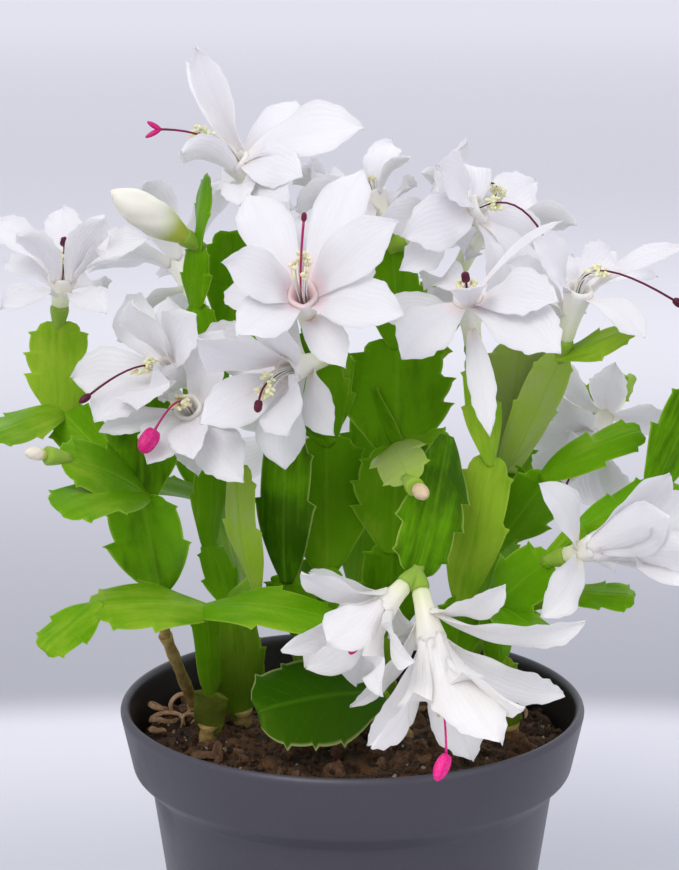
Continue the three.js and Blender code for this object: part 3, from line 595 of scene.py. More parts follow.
# the plant's layout, in mm
# Stems are chains of flat segments. tip: where one ends; width: across it; face: where its broad side looks;
# bow: how far its middle swells to the face; cup: how far its margins curl to the face.
# Blooms open at their mouth; a tepal is (degrees round the flower, degrees off its axis, length, slim).
# slim: the share of its tier's width; knob: (radius, length) of the stigma; style: how far it stands out.
# looks: where a bloom's tepals turn their faces, forward unless given; droop: how its style bends.
stems = {
    "stem_left_low": dict(root=(-40, -9), segments={
        "stub": dict(tip=(-39, -10, 109), width=13, face=(-0.3, -1, 0.1), teeth=1),
        "neck": dict(on="stub", tip=(-40, -20, 135), width=10, face=(0.4, -1, 0), teeth=1),
        "left": dict(on="neck", tip=(-68, -34, 140), width=20, face=(0, -0.5, 0.87), bow=2, cup=-1),
        "leftTip": dict(on="left", tip=(-80, -46, 132), width=13, face=(0.2, -0.5, 0.85)),
        "right": dict(on="neck", tip=(-6, -40, 138), width=17, face=(0, -0.5, 0.87), bow=3),
    }),
    "stem_left_tall": dict(root=(-45, 12), segments={
        "twig": dict(tip=(-52, -3, 123), twig=1.7),
        "twigTop": dict(on="twig", tip=(-53, -7, 139), twig=1.6),
        "fold": dict(on="twigTop", tip=(-57, -12, 165), width=24, face=(-0.2, -1, 0.1), cup=4),
        "budLeaf": dict(on="fold", tip=(-75, -36, 181), width=18, face=(0.1, -0.8, 0.6), bow=2),
        "underLeaf": dict(on="fold", tip=(-75, -48, 170), width=18, face=(-0.1, -0.75, 0.6), bow=2),
        "roundLeaf": dict(on="fold", tip=(-56, -14, 193), width=22, face=(0.1, -1, 0), bow=-2, teeth=3),
        "outer": dict(on="fold", tip=(-80, 0, 186), width=17, face=(0.3, -1, 0.2)),
        "top": dict(on="outer", tip=(-80, 2, 210), width=20, face=(-0.1, -1, 0), teeth=3),
        "side": dict(on="outer", tip=(-96, -26, 184), width=14, face=(0.1, -0.6, 0.8)),
    }),
    "stem_left_inner": dict(root=(-31, 4), segments={
        "base": dict(tip=(-34, 0, 131), width=18, face=(0.5, -0.9, 0)),
        "low": dict(on="base", tip=(-40, 2, 148), width=11, face=(0.5, -0.9, 0)),
        "high": dict(on="low", tip=(-39, 0, 176), width=12, face=(0.5, -0.9, 0)),
        "hidden": dict(on="high", tip=(-36, 0, 191), width=11, face=(0.3, -1, 0)),
        "crown": dict(on="hidden", tip=(-43, 6, 214), width=11, face=(0.3, -1, 0)),
        "spur": dict(on="crown", tip=(-42, 4, 231), width=9, face=(-0.3, -1, 0)),
        "spire": dict(on="spur", tip=(-39, 2, 250), width=11, face=(-0.9, -0.4, 0)),
        "link": dict(on="base", tip=(-26, -13, 140), width=9, face=(0.2, -1, 0.3), teeth=1),
        "bright": dict(on="link", tip=(-30, -20, 175), width=15, face=(-0.7, -0.7, 0), bow=2),
    }),
    "stem_centre_left": dict(root=(-14, 10), segments={
        "base": dict(tip=(-14, 0, 122), width=15, face=(0.9, -0.5, 0)),
        "low": dict(on="base", tip=(-18, -13, 143), width=17, face=(-0.2, -1, 0)),
        "front": dict(on="low", tip=(-17, -22, 184), width=17, face=(-0.3, -1, 0), bow=2),
        "wideLow": dict(on="base", tip=(-7, -6, 144), width=20, face=(-0.5, -0.9, 0)),
        "wide": dict(on="wideLow", tip=(-7, -8, 180), width=26, face=(0.1, -1, 0), bow=-2, teeth=3),
        "upper": dict(on="wide", tip=(-11, -20, 211), width=17, face=(0, -1, 0.4)),
        "right": dict(on="wide", tip=(-4, -16, 205), width=13, face=(0.3, -1, 0.3)),
        "back": dict(on="wide", tip=(-25, 4, 210), width=15, face=(0.2, -1, 0.2)),
        "crown": dict(on="back", tip=(-22, 8, 241), width=15, face=(0.3, -1, 0)),
        "curl": dict(on="wide", tip=(-33, 14, 205), width=13, face=(-0.3, -1, 0.2), bow=2),
        "flare": dict(on="curl", tip=(-34, 16, 233), width=16, face=(0, -1, 0.1), bow=-2),
    }),
    "stem_centre": dict(root=(8, 12), segments={
        "base": dict(tip=(10, 4, 122), width=16, face=(-0.9, -0.5, 0)),
        "low": dict(on="base", tip=(11, -8, 150), width=20, face=(-0.1, -1, 0)),
        "mid": dict(on="low", tip=(12, -12, 178), width=24, face=(0, -1, 0.1), teeth=3),
        "big": dict(on="mid", tip=(12, -4, 206), width=31, face=(0, -1, 0.1), bow=-2, teeth=3),
        "high": dict(on="big", tip=(10, 0, 231), width=19, face=(0.4, -0.9, 0)),
        "edge": dict(on="mid", tip=(-3, 3, 199), width=14, face=(-0.8, -0.6, 0)),
        "cream": dict(on="mid", tip=(14, -46, 177), width=16, face=(-0.4, -0.4, 0.9), bow=3),
        "link": dict(on="mid", tip=(24, -29, 183), width=12, face=(0.1, -0.9, 0.5), teeth=1),
        "pendent": dict(on="link", tip=(16, -49, 154), width=18, face=(0.2, -1, 0.3), bow=3, teeth=3),
    }),
    "stem_centre_front": dict(root=(25, -6), segments={
        "base": dict(tip=(27, -16, 118), width=13, face=(0, -1, 0), teeth=1),
        "low": dict(on="base", tip=(29, -26, 141), width=15, face=(0.2, -1, 0)),
        "ribbed": dict(on="low", tip=(36, -24, 178), width=17, face=(-0.1, -1, 0), bow=2),
        "narrow": dict(on="ribbed", tip=(32, -19, 204), width=12, face=(0.5, -0.9, 0)),
    }),
    "stem_right_tall": dict(root=(40, 14), segments={
        "base": dict(tip=(40, 4, 124), width=16, face=(0.9, -0.5, 0)),
        "low": dict(on="base", tip=(40, -4, 150), width=18, face=(0.5, -0.9, 0)),
        "mid": dict(on="low", tip=(42, -9, 173), width=19, face=(-0.2, -1, 0)),
        "tall": dict(on="mid", tip=(45, -8, 206), width=21, face=(-0.2, -1, 0), bow=-2, teeth=3),
        "shoulder": dict(on="mid", tip=(55, -14, 204), width=15, face=(0.5, -0.9, 0.1)),
        "wing": dict(on="shoulder", tip=(74, -21, 212), width=12, face=(-0.3, -0.5, 0.8), bow=-1),
        "dark": dict(on="low", tip=(52, -18, 172), width=20, face=(0.2, -1, 0.1), teeth=3),
        "reach": dict(on="dark", tip=(77, -14, 183), width=13, face=(-0.3, -0.7, 0.6), bow=2),
    }),
    "stem_right_low": dict(root=(44, -4), segments={
        "base": dict(tip=(40, -14, 120), width=12, face=(0, -1, 0), teeth=1),
        "low": dict(on="base", tip=(38, -26, 138), width=13, face=(0.2, -1, 0.2), teeth=1),
        "spoon": dict(on="low", tip=(51, -38, 154), width=18, face=(-0.1, -0.9, 0.5), bow=2),
        "ledge": dict(on="low", tip=(48, -52, 138), width=14, face=(-0.1, -0.2, 1)),
        "link": dict(on="spoon", tip=(60, -33, 162), width=8, face=(0, -1, 0.3), teeth=1),
        "rise": dict(on="link", tip=(79, -27, 171), width=12, face=(0.2, -0.6, 0.8), bow=-2),
        "far": dict(on="rise", tip=(91, -20, 196), width=16, face=(0.3, -1, 0.2)),
        "low2": dict(on="low", tip=(58, -28, 142), width=10, face=(0.1, -0.6, 0.9), teeth=1),
        "small": dict(on="low2", tip=(74, -32, 142), width=12, face=(0, -0.5, 0.9)),
        "rim": dict(on="rise", tip=(98, -36, 163), width=13, face=(0.2, -0.7, 0.7)),
    }),
    "stem_front": dict(root=(12, -12), segments={
        "base": dict(tip=(6, -20, 111), width=9, face=(0.2, -1, 0), teeth=1),
        "apron": dict(on="base", tip=(-25, -37, 112), width=28, face=(0, -0.7, 0.7), bow=3, cup=-2, teeth=3),
    }),
    "stem_back_left": dict(root=(-28, 30), segments={
        "base": dict(tip=(-33, 36, 122), width=16, face=(0.8, 0.6, 0)),
        "mid": dict(on="base", tip=(-40, 46, 150), width=20, face=(-0.9, 0.5, 0.1)),
        "upper": dict(on="mid", tip=(-46, 52, 176), width=22, face=(-0.7, 0.7, 0.2), bow=2),
        "top": dict(on="upper", tip=(-42, 48, 202), width=19, face=(-0.8, 0.6, 0.1)),
        "side": dict(on="mid", tip=(-68, 38, 160), width=17, face=(-0.2, 0.5, 0.85)),
    }),
    "stem_back_centre": dict(root=(0, 34), segments={
        "base": dict(tip=(2, 38, 124), width=16, face=(-0.8, 0.6, 0)),
        "mid": dict(on="base", tip=(6, 44, 154), width=20, face=(0.6, 0.8, 0)),
        "upper": dict(on="mid", tip=(10, 42, 184), width=24, face=(-0.4, 0.9, 0.1), bow=2),
        "top": dict(on="upper", tip=(28, 30, 216), width=20, face=(0.3, 1, 0.2)),
        "side": dict(on="mid", tip=(-14, 68, 168), width=18, face=(-0.1, 0.6, 0.8)),
    }),
    "stem_back_right": dict(root=(32, 34), segments={
        "base": dict(tip=(38, 38, 122), width=15, face=(-0.7, 0.7, 0)),
        "mid": dict(on="base", tip=(46, 42, 150), width=19, face=(0.8, 0.6, 0)),
        "upper": dict(on="mid", tip=(58, 38, 176), width=20, face=(0.8, 0.6, 0.1), bow=2),
        "top": dict(on="upper", tip=(80, 37, 187), width=16, face=(0.2, 0.7, 0.6)),
        "side": dict(on="mid", tip=(52, 68, 160), width=17, face=(0.1, 0.5, 0.85)),
    }),
}
backTepals = dict(
    inner=[(10, 55, 30), (70, 70, 31), (130, 50, 29), (190, 75, 31), (250, 60, 30), (310, 70, 29)],
    outer=[(40, 95, 24), (112, 105, 25), (200, 90, 23), (290, 110, 25)],
)
blooms = {
    "front": dict(
        stem="stem_centre", on="pendent", mouth=(20, -62, 138),
        droop=(-3, 2, 0), style=30, knob=(1.8, 4.8),
        inner=[(0, 14, 26, 0.7), (55, 35, 36, 0.9), (120, 50, 30, 0.7), (185, 42, 34), (235, 65, 36),
               (300, 34, 33, 0.9), (320, 22, 38, 1.15)],
        outer=[(120, 62, 30, 0.6), (155, 100, 20), (290, 66, 42), (310, 80, 26, 0.9)],
    ),
    "front_left": dict(
        stem="stem_centre", on="pendent", mouth=(6, -59, 146), droop=(0, 0, -2), style=9,
        inner=[(45, 15, 22), (130, 20, 27, 0.7), (185, 50, 25), (215, 70, 24), (310, 32, 25, 0.8),
               (335, 55, 24, 0.7)],
        outer=[(85, 50, 26), (145, 85, 24), (230, 110, 20, 0.8)],
    ),
    "centre": dict(
        looks=None, stem="stem_centre_left", on="upper", mouth=(-13, -48, 226), droop=(2, 6, 10), style=20,
        inner=[(60, 55, 31), (108, 48, 33), (150, 92, 35), (200, 95, 30), (258, 34, 27), (312, 45, 27)],
        outer=[(22, 55, 25), (130, 115, 25), (178, 100, 26), (240, 115, 25)],
    ),
    "hanging": dict(
        stem="stem_centre_left", on="right", mouth=(-18, -34, 203), droop=(5, 3, -4), style=18,
        inner=[(55, 51, 24), (110, 24, 30), (160, 92, 23), (220, 20, 28), (270, 70, 23), (315, 38, 24)],
        outer=[(130, 116, 19), (230, 95, 21), (310, 62, 22)],
    ),
    "left_dark": dict(
        stem="stem_left_inner", on="hidden", mouth=(-51, -16, 201), droop=(-6, 0, -13), style=19,
        inner=[(60, 55, 24), (100, 24, 25), (165, 85, 26), (225, 60, 24), (285, 45, 24), (330, 42, 22)],
        outer=[(65, 84, 23), (130, 60, 21), (200, 100, 21), (350, 32, 20)],
    ),
    "left_pink": dict(
        stem="stem_left_inner", on="high", mouth=(-44, -22, 192),
        droop=(-4, 0, -15), style=19, knob=(2.5, 6.5),
        inner=[(0, 50, 24, 0.8), (20, 75, 28), (60, 59, 25), (120, 39, 25), (275, 70, 22, 0.5),
               (325, 56, 22, 0.9)],
        outer=[(215, 110, 22), (355, 60, 20)],
    ),
    "far_left": dict(
        stem="stem_left_tall", on="top", mouth=(-78, -2, 224),
        droop=(0, -3, 0), style=9, slim=0.78,
        inner=[(50, 25, 26), (70, 48, 28), (120, 60, 22), (190, 65, 24), (250, 62, 22), (325, 42, 24)],
        outer=[(40, 80, 20), (150, 105, 20), (230, 92, 22), (330, 82, 24)],
    ),
    "top_left": dict(
        stem="stem_centre_left", on="crown", mouth=(-32, 0, 255),
        droop=(-8, 0, -8), slim=0.9, knob=(1.4, 4.5),
        inner=[(30, 95, 24), (60, 95, 36, 1.1), (120, 15, 33), (125, 112, 30), (172, 48, 31, 0.3),
               (325, 32, 22)],
        outer=[(15, 85, 26), (110, 135, 22), (210, 110, 22), (350, 70, 22)],
    ),
    "upper_mid": dict(
        stem="stem_centre", on="high", mouth=(5, 3, 246), droop=(0, 6, -4), style=7,
        inner=[(35, 75, 20, 0.35), (152, 50, 22, 0.72), (200, 75, 22), (245, 60, 22), (310, 85, 25)],
        outer=[(145, 75, 19, 0.9), (170, 105, 20), (215, 92, 22), (335, 105, 20)],
    ),
    "upper_right": dict(
        stem="stem_centre", on="high", mouth=(35, -8, 243), droop=(-2, 4, -20),
        inner=[(48, 90, 30, 0.9), (90, 75, 26), (135, 78, 26), (210, 100, 26), (320, 85, 24),
               (350, 112, 30, 1.1)],
        outer=[(5, 102, 28), (145, 95, 21), (210, 85, 21), (335, 108, 24)],
    ),
    "right_centre": dict(
        stem="stem_centre_front", on="narrow", mouth=(29, -34, 224), droop=(0, 0, 0), style=4,
        inner=[(0, 30, 20, 0.7), (35, 80, 32, 1.1), (50, 62, 28), (130, 90, 34, 0.2), (200, 123, 24, 0.9),
               (315, 85, 24)],
        outer=[(0, 100, 33, 0.7), (120, 140, 22), (215, 115, 22), (255, 85, 23)],
    ),
    "right_wing": dict(
        stem="stem_right_tall", on="shoulder", mouth=(59, -23, 224), droop=(20, 4, -23),
        inner=[(50, 90, 20, 0.7), (100, 51, 28, 0.45), (135, 97, 30, 0.45), (158, 86, 22, 0.85),
               (180, 100, 22), (280, 40, 19)],
        outer=[(180, 130, 18), (258, 80, 21), (278, 53, 23)],
    ),
    "back_right": dict(
        stem="stem_back_right", on="top", mouth=(67, 23, 172), droop=(0, 0, -4), style=14,
        inner=[(15, 45, 22), (50, 75, 20), (110, 60, 22), (175, 57, 21), (225, 75, 23), (300, 50, 23)],
        outer=[(30, 98, 21), (100, 105, 21), (215, 98, 21), (335, 95, 21)],
    ),
    "right_low": dict(
        stem="stem_right_low", on="spoon", mouth=(63, -46, 160), droop=(0, 0, -4), style=18,
        inner=[(30, 14, 33, 1.1), (75, 26, 31), (120, 38, 28), (180, 34, 27), (245, 20, 28), (330, 14, 30)],
        outer=[(10, 95, 25), (150, 95, 21), (295, 78, 25)],
    ),
    "back_tall": dict(
        stem="stem_back_centre", on="top", mouth=(38, 30, 236), droop=(-10, -6, -10),
        inner=[(15, 85, 21), (80, 60, 24), (150, 45, 23), (200, 70, 22), (265, 75, 20), (330, 75, 21)],
        outer=[(130, 75, 21), (170, 95, 21), (250, 105, 22), (320, 95, 21)],
    ),
    "back_left": dict(
        looks=(-0.6, 0.7, 0.3), stem="stem_back_left", on="top", mouth=(-52, 58, 221), droop=(0, 3, -4),
        **backTepals,
    ),
    "back_low": dict(
        looks=(0, 1, 0.3), stem="stem_back_centre", on="side", mouth=(-18, 88, 160), droop=(0, 2, -5),
        **backTepals,
    ),
}
buds = {
    "bud_left": dict(stem="stem_left_inner", on="spur", tip=(-64, -8, 247), radius=5),
    "bud_tip": dict(stem="stem_left_tall", on="budLeaf", tip=(-84, -43, 184), radius=1.8),
    "bud_cream": dict(stem="stem_centre", on="cream", tip=(18, -58, 176), radius=2),
}

# leafy stems
leafShape = dict(
    columns=13, columnPower=0.85, rowsPerTooth=6, body=1.35, rib=1.05, ribWidth=0.13, overlap=2.2,
    tipSpan=0.09, tipThick=0.35, teethFrom=0.24, teethSpan=0.66, widest=(0.58, 1.02), taper=1.8, tooth=0.035,
    toothStep=0.22, bulge=0.03, bulgeLeast=0.06, wave=0.55, waveCount=9, pull=0.02,
    footOutline=[(0.0, 0.22), (0.2, 0.6)], tipOutline=[(0.975, 0.5), (1.0, 0.3)], placeSpread=0.03,
    widthSpread=0.05, sunk=6.0, footRadius=2.4, footRise=3.2, footOver=1.5, usualTone=0.48, toneSpread=0.15,
    seed=100,
)
twigShape = dict(rows=9, sides=12, knobs=0.10, knobCount=17, collar=0.22, collarFrom=0.93)
ovaryShape = dict(
    outline=[(-2.0, 1.5), (0.0, 1.7), (1.2, 2.0), (2.8, 2.35), (4.2, 2.55), (5.0, 2.45), (5.25, 2.1)],
    sides=14, ridge=(0.05, 5), tone=1.3, length=5.3,
)
soilShape = dict(
    edge=92, crown=4, lumps=1.6, radius=58, coarse=(0.55, 0.47), fine=(0.23, 0.31), fineShare=0.6,
)
woodiness = {"stub": 0.95, "base": 0.55, "neck": 0.35}
# how far a segment's green goes from deep (0) over lit (0.5) to fresh (1); this is partly the segment's own
# green and partly painted light and shade, low for segments in shade and high for well-lit ones
greenAndLightOf = {
    "bright": 1.15, "ribbed": 0.8, "narrow": 0.8, "shoulder": 1.2, "wing": 0.95, "tall": 1.5, "spur": 0.6,
    "cream": 1.35, "link": 0.7, "pendent": 0.15, "left": 0.66, "leftTip": 0.8, "side": 0.7, "front": 0.15,
    "mid": 0.6, "big": 0.5, "wide": 0.45, "budLeaf": 0.7, "rise": 0.5, "low2": 0.6, "small": 0.6,
    "apron": -0.3, "far": 0.24, "dark": 0.5, "top": 0.9, "base": 0.75, "roundLeaf": 0.36, "rim": 0.4,
    "underLeaf": 0.6, "fold": 0.3, "right": 0.6,
}
# how deep a segment's teeth are cut, against the usual
biteOf = {"apron": 0.45, "stub": 0.3, "shoulder": 0.6, "tall": 0.7}
tips = {}


def soilHeight(x, y):
    rim = np.hypot(x, y) / soilShape["radius"]
    (a, b), (c, d) = soilShape["coarse"], soilShape["fine"]
    wave = np.sin(x * a + 1) * np.cos(y * b) + soilShape["fineShare"] * np.sin(x * c - y * d)
    crown = soilShape["crown"] * (1 - rim * rim)
    return soilShape["edge"] + crown + soilShape["lumps"] * wave * (1 - 0.5 * rim)


def marginOf(teeth, bite, chance):
    # places and half widths down one margin, with teeth that lean to the tip
    look = leafShape
    stations = list(look["footOutline"])
    widestAt, widest = look["widest"]
    for k in range(1, teeth + 1):
        at = look["teethFrom"] + look["teethSpan"] * k / teeth + (chance.random() - 0.5) * look["placeSpread"]
        wide = widest - look["taper"] * (at - widestAt) ** 2 + (chance.random() - 0.5) * look["widthSpread"]
        step = look["toothStep"] * bite * (0.75 + 0.5 * chance.random())
        stations += [(at - look["tooth"], wide - 0.05), (at, wide + 0.03), (at + 0.012, wide - step)]
    return stations + look["tipOutline"]


def halfWidths(stations, t):
    # straight between stations, with a bulge that makes each tooth round-backed
    x, y = np.array(stations).T
    k = np.clip(np.searchsorted(x, t, side="right") - 1, 0, len(x) - 2)
    step = x[k + 1] - x[k]
    s = (t - x[k]) / step
    bulge = np.where(step > leafShape["bulgeLeast"], leafShape["bulge"], 0.0)
    return y[k] + (y[k + 1] - y[k]) * s + bulge * 4 * s * (1 - s)


def addSegment(skins, base, shape, chance, tone, wood, bite):
    look = leafShape
    tip = np.array(shape["tip"], float)
    axis = unit(tip - base)
    start = base - axis * look["overlap"]
    length = np.linalg.norm(tip - start)
    u, v = squareTo(axis, shape["face"])
    left, right = (marginOf(shape.get("teeth", 2), bite, chance) for _ in range(2))
    t = []
    for (a, _), (b, _) in zip(left, left[1:]):
        t += list(np.linspace(a, b, max(2, round((b - a) * 6 * look["rowsPerTooth"])), endpoint=False))
    t = np.array(t + [1.0])[:, None]
    columns = np.linspace(-1, 1, look["columns"])
    columns = (np.sign(columns) * np.abs(columns) ** look["columnPower"])[None]
    outward = np.abs(columns)
    onLeft = columns < 0
    halves = np.stack([halfWidths(left, t[:, 0]), halfWidths(right, t[:, 0])], 1) * shape["width"] / 2
    reach = np.where(onLeft, halves[:, :1], halves[:, 1:]) * columns
    share = np.abs(reach) / (shape["width"] / 2)
    bow = 4 * shape.get("bow", 0) * t * (1 - t)
    phase = chance.random(3) * looseTurn
    wave = np.sin(t * look["waveCount"] + phase[0] + np.where(onLeft, phase[1], phase[2]))
    lift = bow + shape.get("cup", 0) * share**2 + look["wave"] * wave * outward**2
    rib = np.exp(-((reach / shape["width"] / look["ribWidth"]) ** 2))
    swell = np.sqrt(np.clip(1 - columns**2, 0, 1))
    ends = np.clip((1.0 - t) / look["tipSpan"], 0, 1) ** 0.5
    thick = (look["body"] * swell + look["rib"] * rib) * (look["tipThick"] + (1 - look["tipThick"]) * ends)
    thick[:, [0, -1]] = 0
    pull = look["pull"] * outward**2 * np.clip(t - 0.9, 0, 0.1) * 10
    centre = start + (t + pull)[..., None] * axis * length
    skins.addLoops(
        bladeLoops(centre, u, v, reach, lift, thick), (0, look["columns"] - 1),
        across=bothSides(np.broadcast_to(columns, reach.shape)), side=bothSides(reach / (shape["width"] / 2)),
        along=t, tone=tone, wood=np.clip(wood - t * (1 - wood), 0, 1),
    )


def addTwig(skins, base, tip, radius):
    look = twigShape
    way = unit(tip - base)
    t = np.linspace(0, 1, look["rows"])
    centres = base - way + np.outer(t, tip - base + way)
    knobs = 1 + look["knobs"] * np.sin(t * look["knobCount"] + radius)
    knobs = knobs + look["collar"] * (t > look["collarFrom"])
    skins.addLoops(roundLoops(centres, radius * knobs, look["sides"]), along=t[:, None], wood=1.0)


def addOvary(skins, tip, end):
    look = ovaryShape
    places, radii = np.array(look["outline"]).T
    loops = roundLoops(tip + np.outer(places, unit(end - tip)), radii, look["sides"], look["ridge"])
    skins.addLoops(loops, along=0.5, tone=look["tone"])


def endOf(flower):
    return np.array(flower.get("mouth", flower.get("tip")), float)


def makeStem(name, stem, chance):
    skins = Skins("across", "side", "along", "tone", "wood")
    segments = stem["segments"]
    rootX, rootY = stem["root"]
    top = np.array([rootX, rootY, soilHeight(rootX, rootY) + leafShape["footRise"]])
    first = next(iter(segments.values()))
    lean = unit(np.array(first["tip"], float) - top)
    foot = top - lean * (leafShape["sunk"] + leafShape["footRise"])
    addTwig(skins, foot, top + lean * leafShape["footOver"], first.get("twig", leafShape["footRadius"]))
    for key, shape in segments.items():
        base = tips[name, shape["on"]] if "on" in shape else top
        tip = np.array(shape["tip"], float)
        if "twig" in shape:
            addTwig(skins, base, tip, shape["twig"])
        else:
            tone = greenAndLightOf.get(key, leafShape["usualTone"])
            tone += (chance.random() - 0.5) * leafShape["toneSpread"]
            addSegment(skins, base, shape, chance, tone, woodiness.get(key, 0.0), biteOf.get(key, 1.0))
        tips[name, key] = tip
    for flower in [*blooms.values(), *buds.values()]:
        if flower["stem"] == name:
            addOvary(skins, tips[name, flower["on"]], endOf(flower))
    finishPiece(skins.piece("leafy_" + name, leafSkin), "leaf", name)


for order, (name, stem) in enumerate(stems.items()):
    makeStem(name, stem, np.random.default_rng(leafShape["seed"] + order))
print("stage: stems made")

# blooms
tepalShape = dict(
    columns=11, rows=34, thick=0.42, rootThick=0.9, cup=0.6, cupPower=1.6, wave=0.7, ragged=0.06, notch=0.09,
    tearWaves=(19, 41), notchWaves=57, leftWaves=(8.5, 17), rightWaves=(7.5, 15), widthSpread=0.12,
    twist=9.0, turn=0.6, curl=25, leastSpread=8, sunk=1.0, narrowest=0.02,
    cream=0.7, creamSpan=5.0, blushSpan=4.0, seed=300,
)
innerTepal = dict(
    start=0.84, width=14, cream=0.55, outline=[(0, 0.24), (0.3, 0.68), (0.58, 0.98), (0.82, 0.72), (1, 0.03)],
)
outerTepal = dict(
    start=0.42, width=11, cream=1.0, outline=[(0, 0.24), (0.38, 0.84), (0.70, 0.92), (0.88, 0.55), (1, 0.03)],
)
tubeShape = dict(
    outside=[(-0.02, 1.9), (0.06, 2.3), (0.25, 2.4), (0.45, 2.7), (0.72, 3.4), (0.88, 3.9), (0.95, 3.8)],
    inside=[(0.97, 3.3), (0.93, 2.5), (0.82, 1.8), (0.6, 1.4), (0.35, 1.3), (0.16, 1.2)],
    base=2.2, mouth=4.3, sides=24, ridge=(0.05, 5), insideTints=(0.2, 0.1),
    creamFrom=1.25, greenFrom=0.75, greenFade=1.9,
)
blushOf = {"centre": 1.0, "right_centre": 0.5, "hanging": 0.3}
# how torn a bloom's margins are, against the usual
tornOf = {"front_left": 0.25, "right_low": 0.35, "centre": 0.5, "hanging": 0.5, "top_left": 0.6}


def flowerFrame(flower):
    # where a flower starts and ends, and two directions square to it
    tip = tips[flower["stem"], flower["on"]]
    end = endOf(flower)
    axis = unit(end - tip)
    base = tip + axis * ovaryShape["length"]
    u, v = anySquare(axis)
    return dict(base=base, end=end, axis=axis, u=u, v=v, length=np.linalg.norm(end - base))


def addTepal(skins, f, tier, tepal, chance):
    look = tepalShape
    turn, lean, length = tepal[:3]
    slim = tepal[3] if len(tepal) > 3 else f["slim"]
    around = math.radians(turn)
    out = f["u"] * math.cos(around) + f["v"] * math.sin(around)
    sideways = np.cross(f["axis"], out)
    heading = lambda a: f["axis"] * math.cos(math.radians(a)) + out * math.sin(math.radians(a))
    wide = tubeShape["base"] + (tubeShape["mouth"] - tubeShape["base"]) * tier["start"]
    root = f["base"] + (f["end"] - f["base"]) * tier["start"] + out * (wide - look["sunk"])
    curl = min(look["curl"], lean - look["leastSpread"])
    knee = root + heading(lean - curl) * length / 2 / math.cos(math.radians(curl))
    tip = root + heading(lean) * length
    t = np.linspace(0, 1, look["rows"])[:, None]
    ways = (knee - root) * (1 - t) + (tip - knee) * t
    twist = math.radians(look["twist"]) * (chance.random() * 2 - 1)
    ups, sides = [], []
    for spot, way in zip(t[:, 0], ways):
        way = unit(way)
        face = unit(np.cross(way, sideways))
        if f["looks"] is not None:
            wish, _ = squareTo(way, f["looks"])
            sign = 1 if wish.dot(face) >= 0 else -1
            face = unit(face + (wish * sign - face) * look["turn"] * spot)
        side = np.cross(way, face)
        angle = twist * spot
        ups.append(face * math.cos(angle) + side * math.sin(angle))
        sides.append(side * math.cos(angle) - face * math.sin(angle))
    columns = np.linspace(-1, 1, look["columns"])[None]
    onLeft = columns < 0
    half = np.clip(through(tier["outline"], t[:, 0]), look["narrowest"], 1.1)[:, None]
    half = half * slim * tier["width"] / 2
    half = half * (0.94 + look["widthSpread"] * chance.random())
    phase = chance.random(4) * looseTurn
    aside = np.where(onLeft, 0.0, 2.1)
    (long, short), (a, b), (c, d) = look["tearWaves"], look["leftWaves"], look["rightWaves"]
    torn = np.sin(t * long + phase[0] + aside) + np.sin(t * short + phase[3] + aside)
    half = half * (1 + f["torn"] * look["ragged"] * torn * np.clip(t * 2 - 0.8, 0, 1))
    notches = np.sin(t * look["notchWaves"] + phase[2] + aside) * np.clip(t * 4 - 2.6, 0, 1)
    half = half * (1 + f["torn"] * look["notch"] * notches)
    ripple = np.where(
        onLeft,
        np.sin(t * a + phase[0]) + 0.5 * np.sin(t * b + phase[2]),
        np.sin(t * c + phase[1]) + 0.5 * np.sin(t * d + phase[3]),
    )
    lift = slim * look["cup"] * (2 * np.abs(columns) ** look["cupPower"] - 1) * (1 - 0.25 * t)
    lift = lift + slim * look["wave"] * ripple * columns**2 * np.clip(t * 3, 0, 1)
    thick = look["thick"] * np.sqrt(np.clip(1 - columns**2, 0, 1)) * (1 + look["rootThick"] * (1 - t) ** 2)
    centre = curved(root, knee, tip, t)[:, None]
    skins.addLoops(
        bladeLoops(centre, np.array(ups)[:, None], np.array(sides)[:, None], half * columns, lift, thick),
        (0, look["columns"] - 1), across=bothSides(np.broadcast_to(columns, lift.shape)),
        cream=np.clip(1 - t * look["creamSpan"], 0, 1) * tier["cream"] * look["cream"],
        blush=f["blush"] * np.clip(1 - t * look["blushSpan"], 0, 1),
    )


def addTube(skins, f):
    look = tubeShape
    angle = anglesOf(look["sides"])
    height, count = look["ridge"]
    ridges = 1 + height * np.cos(count * angle)
    spokes = spokesOf(f, angle)
    loops, marks = [], []
    for k, (spot, radius) in enumerate([*look["outside"], *look["inside"]]):
        loops.append(f["base"] + (f["end"] - f["base"]) * spot + spokes * (radius * ridges)[:, None])
        inside = k >= len(look["outside"])
        green = max(0.0, look["greenFrom"] - spot * look["greenFade"])
        outer = (min(1.0, look["creamFrom"] - spot), green, 0.0)
        marks.append((*look["insideTints"], f["blush"]) if inside else outer)
    cream, green, blush = np.array(marks).T[..., None]
    skins.addLoops(np.array(loops), cream=cream, green=green, blush=blush)


def makeBloom(name, flower, chance):
    f = flowerFrame(flower)
    f.update(slim=flower.get("slim", 1.0), looks=flower.get("looks", (0, -1, 0)))
    f.update(blush=blushOf.get(name, 0.12), torn=tornOf.get(name, 1.0))
    skins = Skins("across", "cream", "green", "blush")
    addTube(skins, f)
    for tier, tepals in ((innerTepal, flower["inner"]), (outerTepal, flower["outer"])):
        for tepal in tepals:
            addTepal(skins, f, tier, tepal, chance)
    finishPiece(skins.piece("petals_" + name, petalSkin), "tepal", "bloom_" + name)


# pistils
styleShape = dict(
    rows=18, sides=10, radius=0.27, swell=0.25, beyond=22, knob=(1.15, 3.0), seat=1.8,
    knobRows=9, knobSides=24, knobSpan=(0.12, 0.98), knobSlim=0.95, ridge=(0.16, 6), sunk=0.3,
    tone=(0.08, 0.04),
)
